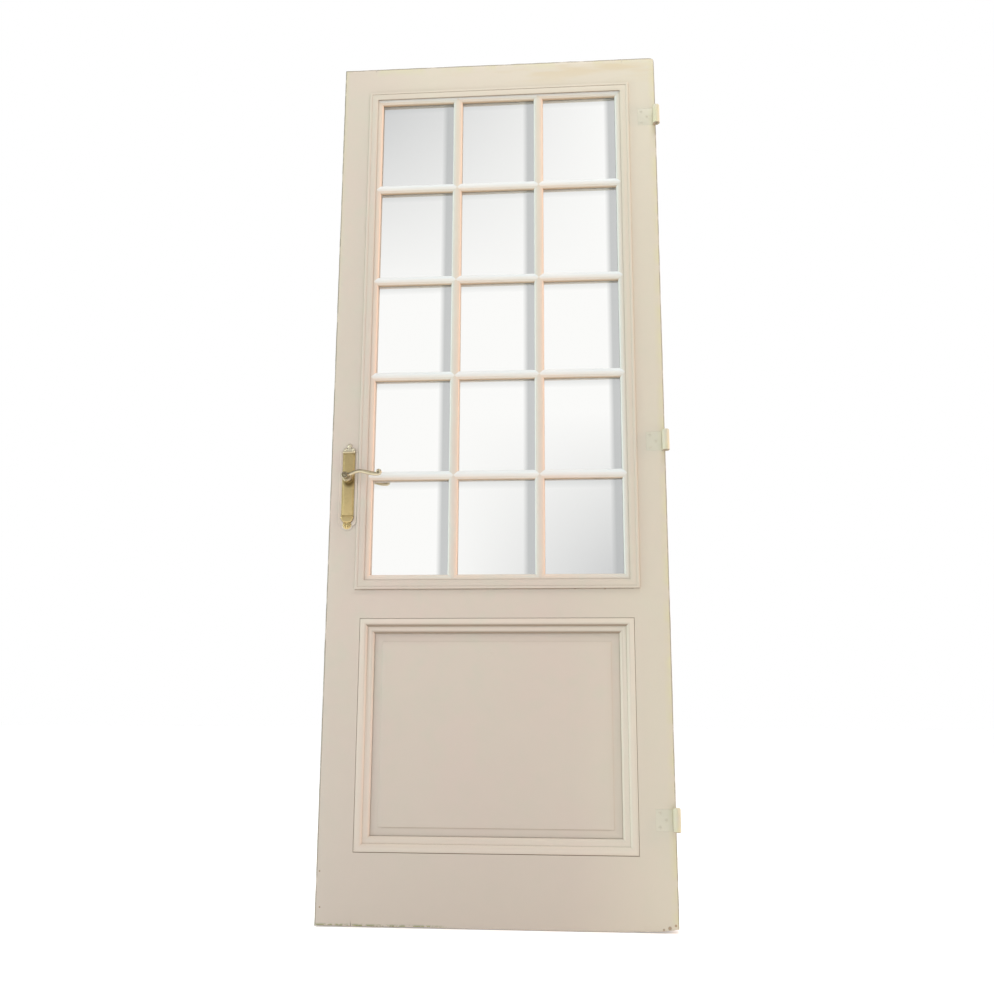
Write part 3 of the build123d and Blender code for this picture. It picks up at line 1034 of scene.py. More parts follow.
@dataclass
class LowerPanel:
    """Raised and fielded panel between stepped mouldings, the same on both faces."""

    paints: Paints
    moulding_paints: Paints
    setback: float = 14.0
    edge_gap: float = 1.0
    moulding: float = 36.0
    bevel: float = 20.0
    bevel_rise: float = 4.0
    field_step: float = 1.2
    groove: float = 1.5
    outer_fillet: float = 8.0
    round_width: float = 10.0
    round_drop: float = 5.0
    round_bands: int = 6
    step: float = 1.0
    inner_fillet: float = 6.5
    foot: float = 3.0
    pace: float = 16.0
    panel_rounding: float = 0.6
    moulding_rounding: float = 0.5
    wave_grain: float = 170.0
    wave_depth: float = 1.0
    blister: Step = (402.0, 616.0)
    blister_rings: tuple[Step, ...] = ((10.0, 0.25), (7.0, 0.35), (4.0, 0.4))
    blister_reach: float = 2.2
    blister_flat: float = 1.6
    blister_cuts: int = 5

    def raise_blister(self, piece: Piece) -> None:
        """Lift the paint of the front field in one low blister.

        Args:
            piece: Panel in edit mode.
        """
        spot = at(self.blister[0], 0, self.blister[1])
        reach = self.blister_reach * self.blister_rings[0][0] * MM
        face = FRONT_FACE + self.setback * MM

        def away(place: Vector, squeeze: float = 1.0) -> float:
            """Distance of a point from the blister's middle, seen from the front."""
            return math.hypot(place.x - spot.x, (place.z - spot.z) * squeeze)

        pick(piece, lambda f: f.normal.y < -LEANING and away(f.calc_center_median()) < reach)
        bpy.ops.mesh.subdivide(number_cuts=self.blister_cuts)
        for radius, lift in self.blister_rings:
            pick(piece, lambda v: v.co.y < face and away(v.co, self.blister_flat) < radius * MM, "VERT")
            bpy.ops.transform.translate(value=OUT * lift * MM)

    def panel(self) -> Piece:
        """Raise the field on both faces and let its wood move a little.

        Returns:
            The panel.
        """
        body = PANEL_OPENING.grown(-self.edge_gap * MM)
        low = Vector((body.left, FRONT_FACE + self.setback * MM, body.bottom))
        high = Vector((body.right, BACK_FACE - self.setback * MM, body.top))
        area = PANEL_OPENING.grown(-self.moulding * MM)
        steps = [(self.moulding - self.edge_gap, 0.0), (self.bevel, self.bevel_rise), (0.0, self.field_step)]

        def shown(face: Face) -> bool:
            """Whether a face lies between the mouldings and looks out of either side."""
            return abs(face.normal.y) > LEANING and area.covers(face)

        piece = add_block("fielded_panel", low, high)
        with editing(piece):
            for side in Side:
                pick(piece, lambda f: f.normal.y * side.value > SQUARE)
                step_in(steps, side)
            slice_up(piece, between(area.left, area.right, self.pace * MM), 0, shown)
            slice_up(piece, between(area.bottom, area.top, self.pace * MM), 2, shown)
            self.raise_blister(piece)
        soften(piece, self.panel_rounding)
        inside = area.grown(-1 * MM)
        wear(piece, "panel_waves", inside.holds, self.wave_grain, self.wave_depth, "Y", 0.5)
        smooth(piece)
        return piece

    def ring(self, name: str, side: Side) -> Piece:
        """Carry the stepped moulding round the panel.

        Args:
            name: Name of the ring.
            side: Face of the leaf that it shows on.

        Returns:
            The ring.
        """
        turn = 2 * math.degrees(math.atan(self.round_drop / self.round_width))
        curve = convex(self.round_width, self.round_drop, turn, self.round_bands)
        steps = [(0.0, self.setback - self.groove), (self.groove, self.groove), (self.outer_fillet, 0.0)]
        steps += [*curve, (0.0, -self.step), (self.inner_fillet, 0.0), *curve, (0.0, -self.foot)]
        start = FACES[side] - side.value * self.setback * MM
        piece = mitred_ring(name, PANEL_OPENING, start, side, steps)
        soften(piece, self.moulding_rounding)
        return piece

    def build(self) -> None:
        """Build the panel and both rings of moulding."""
        finish_piece(self.panel(), ["lower_panel"], [self.paints.upright])
        for side, mark in MARKS.items():
            stem = f"{mark}panel_moulding"
            ring = self.ring(f"{stem}_ring", side)
            finish_piece(ring, sticks(stem), self.moulding_paints.both)


@dataclass
class Hinges:
    """Three lift-off hinge halves: domed knuckle with its socket, and a flap let in and painted over."""

    heights: ClassVar[dict[str, float]] = {"bottom": 217.0, "middle": 1109.0, "top": 1988.0}
    paint: Material
    axis_across: float = 830.5
    axis_out: float = 8.8
    radius: float = 8.5
    length: float = 54.0
    dome: float = 4.0
    dome_step_deg: int = 15
    foot_chamfer: float = 1.5
    socket_radius: float = 5.0
    socket_depth: float = 47.0
    flap_left: float = 783.0
    flap_thickness: float = 2.5
    flap_foot: float = 2.0
    flap_top: float = 50.0
    flap_rounding: float = 0.15
    neck_left: float = 822.0
    screw_profile: tuple[Step, ...] = ((-0.6, 3.4), (0.05, 4.0), (0.2, 3.6), (0.3, 0.4))
    screws: tuple[Step, ...] = ((792.0, 10.0), (806.0, 26.0), (792.0, 42.0))

    def knuckle(self, height: float) -> Piece:
        """Turn the knuckle, its dome and its socket.

        Args:
            height: Height of its foot on the leaf, in millimetres.

        Returns:
            The knuckle.
        """
        turns = [math.radians(turn) for turn in range(0, 91, self.dome_step_deg)]
        crown = [
            (self.flap_top + self.dome * math.sin(turn), self.radius - self.dome * (1 - math.cos(turn)))
            for turn in turns
        ]
        hole = self.socket_radius
        stations = [(self.socket_depth, hole), (0.4, hole), (0, hole + 0.5)]
        stations += [(0, self.radius - self.foot_chamfer), (self.foot_chamfer, self.radius)]
        stations += [*crown, (self.length, 0.4)]
        return turned("knuckle", at(self.axis_across, -self.axis_out, height), UP, stations, 36)

    def flap(self, height: float) -> Piece:
        """Shape the flap and the neck that joins it to the knuckle.

        Args:
            height: Height of the knuckle's foot on the leaf, in millimetres.

        Returns:
            The flap.
        """
        low = at(self.flap_left, 0.0, height + self.flap_foot)
        high = at(self.axis_across, self.flap_thickness, height + self.flap_top)
        piece = add_block("flap", low, high)
        neck = at(self.neck_left, 0, 0).x
        with editing(piece):
            slice_up(piece, [neck], 0)
            pick(piece, lambda f: f.normal.y < -SQUARE and f.calc_center_median().x > neck)
            push(OUT * self.axis_out * MM)
        close_up(piece)
        soften(piece, self.flap_rounding)
        return piece

    def screw(self, across: float, height: float) -> Piece:
        """Turn one countersunk screw head and cut its slot.

        Args:
            across: Place across the leaf, in millimetres.
            height: Place up the leaf, in millimetres.

        Returns:
            The head.
        """
        head = turned("screw", at(across, 0, height), OUT, self.screw_profile, 20)
        slot = add_block("slot", at(across - 4, -1, height - 0.5), at(across + 4, 0.1, height + 0.5))
        cut_away(head, [slot])
        return head

    def build(self) -> None:
        """Build the bottom hinge and copy it to the other two."""
        first = self.heights["bottom"]
        parts = [self.knuckle(first), self.flap(first)]
        parts += [self.screw(across, first + lift) for across, lift in self.screws]
        bottom = joined(parts, "hinge_bottom")
        smooth(bottom)
        for place, height in self.heights.items():
            piece = bottom
            if place != "bottom":
                piece = copied(bottom, f"hinge_{place}", Matrix.Translation(UP * (height - first) * MM))
                smooth(piece)
            finish_piece(piece, ["hinges"], [self.paint])


def mirror_to_back() -> Matrix:
    """Mirror in the middle plane of the leaf."""
    return Matrix.Translation((0, FRONT_FACE + BACK_FACE, 0)) @ Matrix.Diagonal((1, -1, 1, 1))


@dataclass
class HandleSet:
    """Long handle plate with crest, cup and palmette, and a scrolled lever, on both faces."""

    brass: Material
    lever_brass: Material
    paint: Material
    across: float = 46.0
    height: float = 1050.0
    half_width: float = 15.5
    foot: float = 953.5
    top: float = 1120.0
    edge: float = 2.2
    crown: float = 1.6
    crown_pace: float = 2.2
    flat_edge: float = 4.6
    sunk_line: tuple[Step, ...] = ((1.8, 0.0), (0.5, -0.7), (0.7, 0.0), (0.6, 0.8))
    bar_height: float = 5.2
    bar_out: float = 5.6
    reed_out: float = 4.6
    reeds: tuple[tuple[str, Step, float], ...] = (
        ("plate_reed", (1113.0, 1114.4), 0.5), ("plate_foot_reed", (953.1, 954.7), 0.6),
    )
    crest_height: float = 1133.0
    neck_half: float = 5.5
    neck_out: float = 2.6
    neck_taper: float = 0.72
    knob: Step = (6.0, 3.0)
    eye: Step = (2.6, 4.2)
    lobe: Step = (5.5, 3.0)
    lobe_bead: Step = (2.4, 4.0)
    lobe_place: Step = (9.5, 1123.0)
    cup_drops: tuple[float, ...] = (0.0, 2.5, 5.0, 7.5, 10.0, 12.4, 14.5)
    cup_bend: float = 17.77
    margin: float = 8.0
    border_foot: float = 24.0
    border_thickness: float = 1.4
    border_corner: float = 14.0
    border_rim: tuple[Step, ...] = ((2.2, 0.0), (0.6, -0.5))
    palmette_level: float = 933.0
    palmette_radius: float = 12.0
    palmette_root: Step = (3.0, 4.2)
    root_lift: float = 6.5
    petals: int = 7
    petal_lean_deg: float = 78.0
    petal_gap: float = 0.9
    petal_shape: tuple[Step, ...] = (
        (0.0, 0.5), (0.2, 1.1), (0.5, 1.75), (0.75, 1.9), (0.92, 1.3), (1.0, 0.15),
    )
    boss_shape: tuple[Step, ...] = ((0.5, 1.0), (0.78, 0.9), (0.94, 0.64), (1.0, 0.3))
    collar_profile: tuple[Step, ...] = (
        (1.0, 12.4), (4.0, 12.4), (4.6, 11.6), (5.0, 10.6), (6.2, 10.3),
        (6.8, 10.9), (8.2, 10.9), (8.8, 10.3), (8.8, 8.1), (0.2, 8.1),
    )
    hub_profile: tuple[Step, ...] = (
        (0.4, 8.0), (9.2, 8.0), (9.3, 8.6), (10.4, 9.6), (11.6, 9.8), (12.2, 10.6), (14.4, 11.4),
        (17.7, 11.5), (21.0, 11.4), (23.2, 10.6), (23.8, 9.8), (25.0, 9.6), (26.2, 8.5), (26.8, 6.6),
        (28.4, 5.6), (34.6, 5.5), (36.4, 6.2), (37.2, 8.0), (38.0, 8.5), (45.4, 8.5), (46.6, 8.0),
        (47.3, 7.2), (47.5, 6.6), (47.4, 6.0), (46.7, 5.4), (46.7, 3.4), (47.2, 2.6), (47.5, 1.4),
        (47.5, 0.05),
    )
    web_profile: tuple[Step, ...] = ((39.4, 4.8), (43.4, 4.8), (43.8, 4.2), (43.9, 0.05))
    arm_out: float = 42.0
    arm_half: float = 4.0
    scroll: Step = (82.5, 7.5)
    scroll_turn_deg: float = 330.0
    scroll_steps: int = 22
    scroll_close: float = 0.56
    arm: tuple[Spot, ...] = (
        (0, 0, 8.0), (9, 1.2, 8.7), (17, 4.2, 8.9), (24, 7.4, 8.9), (31, 9.4, 8.7),
        (37, 10.0, 8.5), (44, 9.2, 8.8), (51, 7.4, 9.5), (58, 5.6, 10.1), (65, 4.1, 10.2),
        (71, 2.9, 9.8), (77, 2.1, 8.9), (82.5, 1.9, 8.1),
    )

    def spot(self, across: float, out: float, height: float) -> Vector:
        """Point by its offset from the pivot line, its distance out of the face and its height."""
        return at(self.across + across, -out, height)

    def block(self, name: str, half_width: float, foot: float, top: float, out: float) -> Piece:
        """Block that stands on the leaf's face, to both sides of the pivot line, in millimetres."""
        return add_block(name, self.spot(-half_width, out, foot), self.spot(half_width, 0, top))

    def body(self) -> Piece:
        """Crown the plate's body and sink a line round its field.

        Returns:
            The body.
        """
        wide = self.half_width
        piece = self.block("plate_body", wide, self.foot, self.top, self.edge)
        centre = self.spot(0, 0, 0).x
        outer = FRONT_FACE - self.edge * MM

        def crown_at(station: float) -> Vector:
            """How far the crown stands out at a place along X."""
            return OUT * self.crown * MM * (1 - ((station - centre) / (wide * MM)) ** 2)

        with editing(piece):
            low, high = centre - (wide - self.flat_edge) * MM, centre + (wide - self.flat_edge) * MM
            slice_up(piece, [low, *between(low, high, self.crown_pace * MM), high], 0)
            move_by_station(piece, lambda v: abs(v.co.y - outer) < TOUCH, crown_at)
            pick(piece, lambda f: f.normal.y < -LEANING)
            for inwards, outwards in self.sunk_line:
                bpy.ops.mesh.inset(thickness=inwards * MM, depth=outwards * MM, use_even_offset=True)
        soften(piece, 0.25)
        return piece

    def bars(self) -> list[Piece]:
        """Round the cross bar and the thin reeds below it and at the plate's foot.

        Returns:
            The bar and the two reeds.
        """
        bar = self.block("plate_bar", self.half_width, self.top - self.bar_height, self.top, self.bar_out)
        soften(bar, 2.0, 4)
        pieces = [bar]
        for name, (foot, top), rounding in self.reeds:
            pieces.append(self.block(name, self.half_width, foot, top, self.reed_out))
            soften(pieces[-1], rounding)
        return pieces

    def button(self, name: str, across: float, height: float, radius: float, out: float) -> Piece:
        """Turn one domed boss.

        Args:
            name: Name of the boss.
            across: Its offset from the pivot line, in millimetres.
            height: Its place up the leaf, in millimetres.
            radius: Its radius in millimetres.
            out: How far it stands out of the leaf's face, in millimetres.

        Returns:
            The boss.
        """
        dome = [(out * share, radius * part) for share, part in self.boss_shape]
        return turned(name, self.spot(across, 0, height), OUT, [(0.1, radius), *dome, (out, 0.05)], 28)

    def crest(self) -> list[Piece]:
        """Shape the crest above the plate.

        Returns:
            Its neck, knob, two lobes with their beads, and eye.
        """
        neck = self.block("crest_neck", self.neck_half, self.top - 0.5, self.top + 13.5, self.neck_out)
        with editing(neck):
            pick(neck, lambda v: v.co.z > self.spot(0, 0, self.top + 10).z, "VERT")
            centre = self.spot(0, 0, self.crest_height)
            bpy.ops.transform.resize(value=(self.neck_taper, 1, 1), center_override=centre)
        soften(neck, 0.8, 3)
        pieces = [neck, self.button("crest_knob", 0.0, self.crest_height, *self.knob)]
        offset, height = self.lobe_place
        for hand in (-1, 1):
            pieces.append(self.button("crest_lobe", hand * offset, height, *self.lobe))
            pieces.append(self.button("crest_bead", hand * offset, height, *self.lobe_bead))
        return [*pieces, self.button("crest_eye", 0.0, self.crest_height, *self.eye)]

    def cup(self) -> Piece:
        """Draw the cup in below the plate, narrower step by step.

        Returns:
            The cup.
        """
        bpy.ops.mesh.primitive_plane_add(size=1, location=self.spot(0, self.bar_out / 2, self.foot))
        piece = settle("plate_cup", (2 * self.half_width * MM, self.bar_out * MM, 1))
        bend, drops = self.cup_bend, self.cup_drops
        widths = [self.half_width - bend + math.sqrt(bend**2 - drop**2) for drop in drops]
        with editing(piece):
            for high, low, before, after in zip(drops, drops[1:], widths, widths[1:]):
                push(UP * (high - low) * MM)
                centre = self.spot(0, 0, self.foot - low)
                bpy.ops.transform.resize(value=(after / before, 1, 1), center_override=centre)
        close_up(piece)
        soften(piece, 1.6, 4, 40.0)
        return piece

    def palmette(self) -> list[Piece]:
        """Fan petals from the foot of the cup over a low disc.

        Returns:
            The disc, the petals and the boss at their root.
        """
        centre, lift = self.palmette_level, self.root_lift
        root = self.spot(0, 1.2, centre + lift)
        pieces = [self.button("palmette_disc", 0.0, centre, self.palmette_radius - 0.6, 2.0)]
        for number in range(self.petals):
            lean = math.radians(self.petal_lean_deg * (2 * number / (self.petals - 1) - 1))
            direction = Vector((math.sin(lean), 0, -math.cos(lean)))
            inward = lift * math.cos(lean)
            reach = inward + math.sqrt(inward**2 - lift**2 + self.palmette_radius**2) - self.petal_gap
            stations = [(reach * share, radius) for share, radius in self.petal_shape]
            pieces.append(turned(f"petal_{number}", root, direction, stations, 12))
        return [*pieces, self.button("palmette_root", 0.0, centre + lift, *self.palmette_root)]

    def border(self) -> Piece:
        """Lay the painted margin round the plate, with a low rim.

        Returns:
            The margin.
        """
        low, wide = self.foot - self.border_foot, self.half_width + self.margin
        level = self.spot(0, 0, low).z + TOUCH
        piece = self.block("plate_margin", wide, low, self.top, self.border_thickness)

        def foot_corner(edge: Edge) -> bool:
            """Whether an edge runs out of the leaf at the margin's foot."""
            return abs(edge.verts[0].co.y - edge.verts[1].co.y) > TOUCH and middle(edge).z < level

        with editing(piece):
            pick(piece, foot_corner, "EDGE")
            bpy.ops.mesh.bevel(offset=self.border_corner * MM, segments=8, affect="EDGES")
            pick(piece, lambda f: f.normal.y < -SQUARE)
            step_in(self.border_rim, Side.FRONT)
        soften(piece, 0.35)
        disc = self.button("palmette_margin", 0.0, self.palmette_level, self.palmette_radius + 2.5, 1.4)
        return joined([piece, disc], "plate_margin")

    def lever_arm(self) -> Piece:
        """Draw the arm along its wave and roll its end into a scroll.

        Returns:
            The arm.
        """
        bpy.ops.mesh.primitive_circle_add(
            vertices=16,
            radius=1,
            fill_type="NGON",
            location=self.spot(0, self.arm_out, self.height),
            rotation=(0, math.radians(90), 0),
        )
        piece = settle("lever_arm", (self.arm[0][2] / 2 * MM, self.arm_half * MM, 1))
        eye = self.spot(self.scroll[0], self.arm_out, self.height + self.scroll[1])
        with editing(piece):
            for (x0, z0, h0), (x1, z1, h1) in zip(self.arm, self.arm[1:]):
                push(((x1 - x0) * MM, 0, (z1 - z0) * MM))
                centre = self.spot(x1, self.arm_out, self.height + z1)
                bpy.ops.transform.resize(value=(1, 1, h1 / h0), center_override=centre)
            turn = math.radians(self.scroll_turn_deg / self.scroll_steps)
            closing = self.scroll_close ** (1 / self.scroll_steps)
            for _ in range(self.scroll_steps):
                push((0, 0, 0))
                bpy.ops.transform.rotate(
                    value=turn, orient_axis="Y", orient_type="GLOBAL", center_override=eye
                )
                bpy.ops.transform.resize(value=(closing, 1, closing), center_override=eye)
        close_up(piece)
        smooth(piece, 40.0)
        return piece

    def lever(self) -> Piece:
        """Join the neck and hub, the arm and the web behind the scroll's eye.

        Returns:
            The lever.
        """
        eye = self.spot(self.scroll[0], 0, self.height + self.scroll[1])
        web = turned("scroll_web", eye, OUT, self.web_profile, 24)
        hub = turned("hub", self.spot(0, 0, self.height), OUT, self.hub_profile, 48)
        return joined([hub, self.lever_arm(), web], "lever_front_brass")

    def build(self) -> None:
        """Build the front set and mirror it to the back."""
        parts = [self.body(), *self.bars(), *self.crest(), self.cup(), *self.palmette()]
        collar = turned("collar", self.spot(0, 0, self.height), OUT, self.collar_profile)
        plate = joined([*parts, collar], "plate_front_brass")
        smooth(plate)
        margin = self.border()
        smooth(margin)
        fronts = (plate, margin, self.lever())
        names = ("plate_back_brass", "plate_margin_back", "lever_back_brass")
        backs = [copied(piece, name, mirror_to_back()) for piece, name in zip(fronts, names)]
        for back in backs:
            smooth(back)
        for face, (plate, margin, lever) in (("front", fronts), ("back", backs)):
            finish_piece(plate, [f"handle_plate_{face}"], [self.brass])
            finish_piece(margin, [f"handle_plate_{face}"], [self.paint])
            finish_piece(lever, [f"lever_{face}"], [self.lever_brass], body="lever_set")


@dataclass
class Latch:
    """Faceplate let into the lock edge, with its screws, and the latch bolt in it."""

    steel: Material
    middle_depth: float = 18.0
    screw_heights: Step = (985.0, 1115.0)
    screw_profile: tuple[Step, ...] = ((-1.0, 2.6), (-0.15, 3.6), (-0.05, 3.3), (-0.05, 0.1))
    seat_profile: tuple[Step, ...] = ((-1.6, 2.4), (-0.9, 3.2), (0.2, 3.9), (1, 3.9))

    def screw(self, height: float) -> Piece:
        """Turn one countersunk screw head that faces the lock edge and cut its slot.

        Args:
            height: Its place up the leaf, in millimetres.

        Returns:
            The head.
        """
        head = turned("latch_screw", at(0, self.middle_depth, height), LEFT, self.screw_profile, 20)
        cut_away(head, [add_block("slot", at(-1, 14, height - 0.45), at(0.5, 22, height + 0.45))])
        return head

    def build(self) -> None:
        """Build the faceplate and the bolt."""
        plate = add_block("faceplate", *FACEPLATE)
        seats = [
            turned("seat", at(0, self.middle_depth, height), LEFT, self.seat_profile, 20)
            for height in self.screw_heights
        ]
        cut_away(plate, [eased_block("bolt_hole", LATCH_BOLT, 1.0, 0.3, -21.0), *seats])
        soften(plate, 0.25)
        plate = joined([plate, *(self.screw(height) for height in self.screw_heights)], "faceplate_steel")
        smooth(plate)
        bolt = add_block("bolt_steel", *LATCH_BOLT)
        soften(bolt, 0.8, 3)
        finish_piece(plate, ["latch_faceplate"], [self.steel])
        finish_piece(bolt, ["latch_bolt"], [self.steel])


def laid(tree: Tree, coat: Sequence[float] | Socket, colour: str, share: float, *zones: Zone) -> Socket:
    """Lay another colour over a coat, where every value given lies towards the end of its range.

    Args:
        tree: Node tree of the material.
        coat: Colour so far, as linear light or an output.
        colour: The colour laid over it, as sRGB hex.
        share: How much of the coat it hides where it is full.
        zones: Each an output, the value where the colour starts and the value where it is full.

    Returns:
        Output with the colour.
    """
    amount = share
    for value, starts, full in zones:
        amount = add_node(tree, "MapRange", {0: value, 1: starts, 2: full, 3: 0.0, 4: amount}).outputs[0]
    return add_node(tree, "Mix", {0: amount, 6: coat, 7: linear(colour)}, data_type="RGBA").outputs[2]


def roughened(
    tree: Tree, place: Socket, scale: float, detail: float, strength: float, depth_mm: float
) -> Socket:
    """Press a noise into a surface.

    Args:
        tree: Node tree of the material.
        place: Coordinates of the noise.
        scale: Scale of the noise.
        detail: Its detail.
        strength: How strongly it shows.
        depth_mm: Its depth in millimetres.

    Returns:
        Output with the surface's normal.
    """
    noise = add_node(tree, "TexNoise", {"Vector": place, "Scale": scale, "Detail": detail})
    sockets = {"Height": noise.outputs[0], "Strength": strength, "Distance": depth_mm * MM}
    return add_node(tree, "Bump", sockets).outputs[0]


def surfaced(tree: Tree, sockets: dict) -> None:
    """Close a material with its shader, which has these inputs, and its output."""
    shader = add_node(tree, "BsdfPrincipled", sockets)
    add_node(tree, "OutputMaterial", {"Surface": shader.outputs[0]})


def metal_surfaced(tree: Tree, colour: Socket, relief: Socket, spots: Zone, dullness: Step) -> None:
    """Close a metal's material, duller where its spots are.

    Args:
        tree: Node tree of the material.
        colour: Output with the colour.
        relief: Output with the normal.
        spots: Output with the spots, the value where they start and the value where they are full.
        dullness: Roughness between the spots and in them.
    """
    value, starts, full = spots
    dull = add_node(tree, "MapRange", {0: value, 1: starts, 2: full, 3: dullness[0], 4: dullness[1]})
    surfaced(tree, {"Base Color": colour, "Metallic": 1.0, "Roughness": dull.outputs[0], "Normal": relief})


@dataclass(frozen=True)
class BrushedPaint:
    """Alkyd satin paint, laid on by hand in many coats and yellowed with age.

    It has a soft sheen, faint brush marks along the member, patches a shade pinker or greener where
    coats were touched up, dirt and painted shade in its hollows and quirks, painted shade on faces
    that look down, a painted shadow along the outline, painted warm light on faces that look right
    and painted cool light on faces that look left, painted light towards the top and painted shade
    towards the bottom, a green cast towards the hinge edge and the top corners, and algae flecks at
    the foot. Where it is given, a painted highlight lies on faces that look up.
    """

    name: str
    run: Run
    body: str = "#CBC0B4"
    pink: str = "#CEBDB4"
    green: str = "#C3C2B2"
    # bright is painted light towards the top, low is painted shade towards the bottom left.
    bright: str = "#D6CFBE"
    low: str = "#BFB5AB"
    side: str = "#CFCBB9"
    # Dirt and painted shade in hollows.
    crevice_dirt_and_shade: str = "#8A7968"
    crevice_dirt_and_shade_share: float = 0.75
    crevice_dirt_and_shade_hollow: Step = (0.95, 0.6)
    # Painted shade on faces that look down.
    painted_underside_shade: str = "#917F6D"
    painted_underside_shade_share: float = 0.9
    painted_underside_shade_turn: Step = (-0.2, -0.65)
    # Painted highlight on faces that look up.
    painted_top_highlight: str = "#F0EAE0"
    painted_top_highlight_share: float = 0.0
    painted_top_highlight_turn: Step = (0.0, 0.28)
    # Painted warm light on faces that look right, and painted cool light on faces that look left.
    painted_warm_light: str = "#D9A988"
    painted_warm_light_share: float = 0.15
    painted_cool_light: str = "#CFD1C3"
    painted_cool_light_share: float = 0.3
    side_turn: Step = (0.25, 0.8)
    olive: str = "#CFCDA0"
    smear: str = "#CDBFA0"
    smear_lean_deg: float = 28.0
    algae: str = "#7C8350"
    # Painted shadow along the front outline.
    painted_outline_shadow: str = "#857D6F"
    painted_outline_shadow_share: float = 0.85
    edge: str = "#B7B9B1"
    edge_share: float = 0.85
    patch_mm: float = 190.0
    small_patch_mm: float = 45.0
    brush_mm: float = 1.8
    brush_length_mm: float = 110.0
    crevice_dirt_and_shade_reach_mm: float = 3.0
    fleck_mm: float = 9.0
    sheen: Step = (0.45, 0.62)
    bare: str = "#8F775C"
    chips: tuple[Spot, ...] = (
        (8.8, 121.1, 2.6), (11.9, 42.6, 2.6), (605.2, 773.7, 3.0), (676.7, 773.3, 3.0),
        (808.1, 11.3, 5.0), (821.5, 16.8, 3.5), (794.7, 7.9, 3.0),
    )

    def aged(self, tree: Tree, place: Socket, touches: Socket, coat: Socket) -> Socket:
        """Add colour by place: painted light and shade, casts, smears, chips and algae.

        Args:
            tree: Node tree of the material.
            place: Output with the coordinates.
            touches: Output with the small patches.
            coat: Output with the colour so far.

        Returns:
            Output with the aged colour.
        """
        left, right, top, foot = LEAF_LOW.x, LEAF_HIGH.x, LEAF_HIGH.z, LEAF_LOW.z
        across, depth, height = add_node(tree, "SeparateXYZ", {0: place}).outputs
        front = (depth, FRONT_FACE + 0.004, FRONT_FACE + 0.001)
        behind = (depth, FRONT_FACE + 0.001, FRONT_FACE + 0.003)
        lean = (0.0, math.radians(self.smear_lean_deg), 0.0)
        slant = add_node(tree, "Mapping", {0: place, 2: lean, 3: (4.0, 1.0, 22.0)}).outputs[0]
        streaks = add_node(tree, "TexNoise", {"Vector": slant, "Scale": 1.3, "Detail": 2.0}).outputs[0]
        speckle = {"Vector": place, "Scale": per_mm(self.fleck_mm), "Detail": 2.0}
        flecks = add_node(tree, "TexNoise", speckle).outputs[0]
        smeared = ((height, top - 0.075, top - 0.02), (across, right - 0.62, right - 0.3))
        damp = ((height, foot + 0.009, foot + 0.004), (across, right - 0.52, right - 0.56))
        # The first two casts are painted shade towards the bottom left and painted light towards the top,
        # less near the lock edge.
        casts = [
            (self.low, 0.85, (height, 0.55, foot + 0.05), (across, right + 0.3, right - 0.4)),
            (self.bright, 0.75, (height, 0.8, top), (across, left - 0.15, left + 0.25)),
            (self.side, 0.6, (across, right - 0.24, right - 0.04)),
            (self.olive, 0.6, (across, right - 0.02, right), (touches, 0.35, 0.6), front),
            (self.olive, 0.45, (across, left + 0.014, left), (height, 0.9, top), front),
            (self.olive, 0.45, (height, top - 0.025, top), (touches, 0.45, 0.6), front),
            (self.smear, 0.7, *smeared, (streaks, 0.5, 0.62)),
        ]
        outline = (
            (height, top - 0.0045, top - 0.0025),
            (across, left + 0.0045, left + 0.0025),
            (across, right - 0.0035, right - 0.002),
        )
        # These lay a painted shadow along the top and both sides of the front outline.
        casts += [(self.painted_outline_shadow, self.painted_outline_shadow_share, line, (touches, 0.3, 0.45), front) for line in outline]
        casts.append((self.edge, self.edge_share, (across, right - 0.001, right - 0.0003), behind))
        for chip_across, chip_height, radius in self.chips:
            chip = at(chip_across, 0.0, chip_height)
            away = add_node(tree, "VectorMath", {0: place, 1: chip}, operation="DISTANCE").outputs["Value"]
            casts.append((self.bare, 0.8, (away, radius * MM, 0.6 * radius * MM)))
        casts.append((self.algae, 0.9, *damp, (flecks, 0.46, 0.56)))
        for colour, share, *zones in casts:
            coat = laid(tree, coat, colour, share, *zones)
        return coat

    def material(self) -> Material:
        """Build the paint's node material.

        Returns:
            The material.
        """
        material, tree = new_material(self.name)
        place = add_node(tree, "TexCoord").outputs["Object"]
        large = {"Vector": place, "Scale": per_mm(self.patch_mm), "Detail": 2.0}
        small = {"Vector": place, "Scale": per_mm(self.small_patch_mm), "Detail": 3.0}
        patches = add_node(tree, "TexNoise", large).outputs[0]
        touches = add_node(tree, "TexNoise", small).outputs[0]
        coat = laid(tree, linear(self.body), self.pink, 0.7, (patches, 0.42, 0.7))
        coat = laid(tree, coat, self.green, 0.45, (touches, 0.48, 0.75))
        coat = self.aged(tree, place, touches, coat)
        facing = add_node(tree, "NewGeometry").outputs["Normal"]
        sideways, _, upward = add_node(tree, "SeparateXYZ", {0: facing}).outputs
        # Painted warm light on faces that look right, and painted cool light on faces that look left.
        coat = laid(tree, coat, self.painted_warm_light, self.painted_warm_light_share, (sideways, *self.side_turn))
        other_side = (sideways, -self.side_turn[0], -self.side_turn[1])
        coat = laid(tree, coat, self.painted_cool_light, self.painted_cool_light_share, other_side)
        # Painted shade on faces that look down.
        coat = laid(tree, coat, self.painted_underside_shade, self.painted_underside_shade_share, (upward, *self.painted_underside_shade_turn))
        height = add_node(tree, "SeparateXYZ", {0: place}).outputs["Z"]
        # Painted highlight on faces that look up, above the lowest sight line.
        above_lowest_sight = (height, SIGHT.bottom, SIGHT.bottom + 0.03)
        coat = laid(tree, coat, self.painted_top_highlight, self.painted_top_highlight_share, (upward, *self.painted_top_highlight_turn), above_lowest_sight)
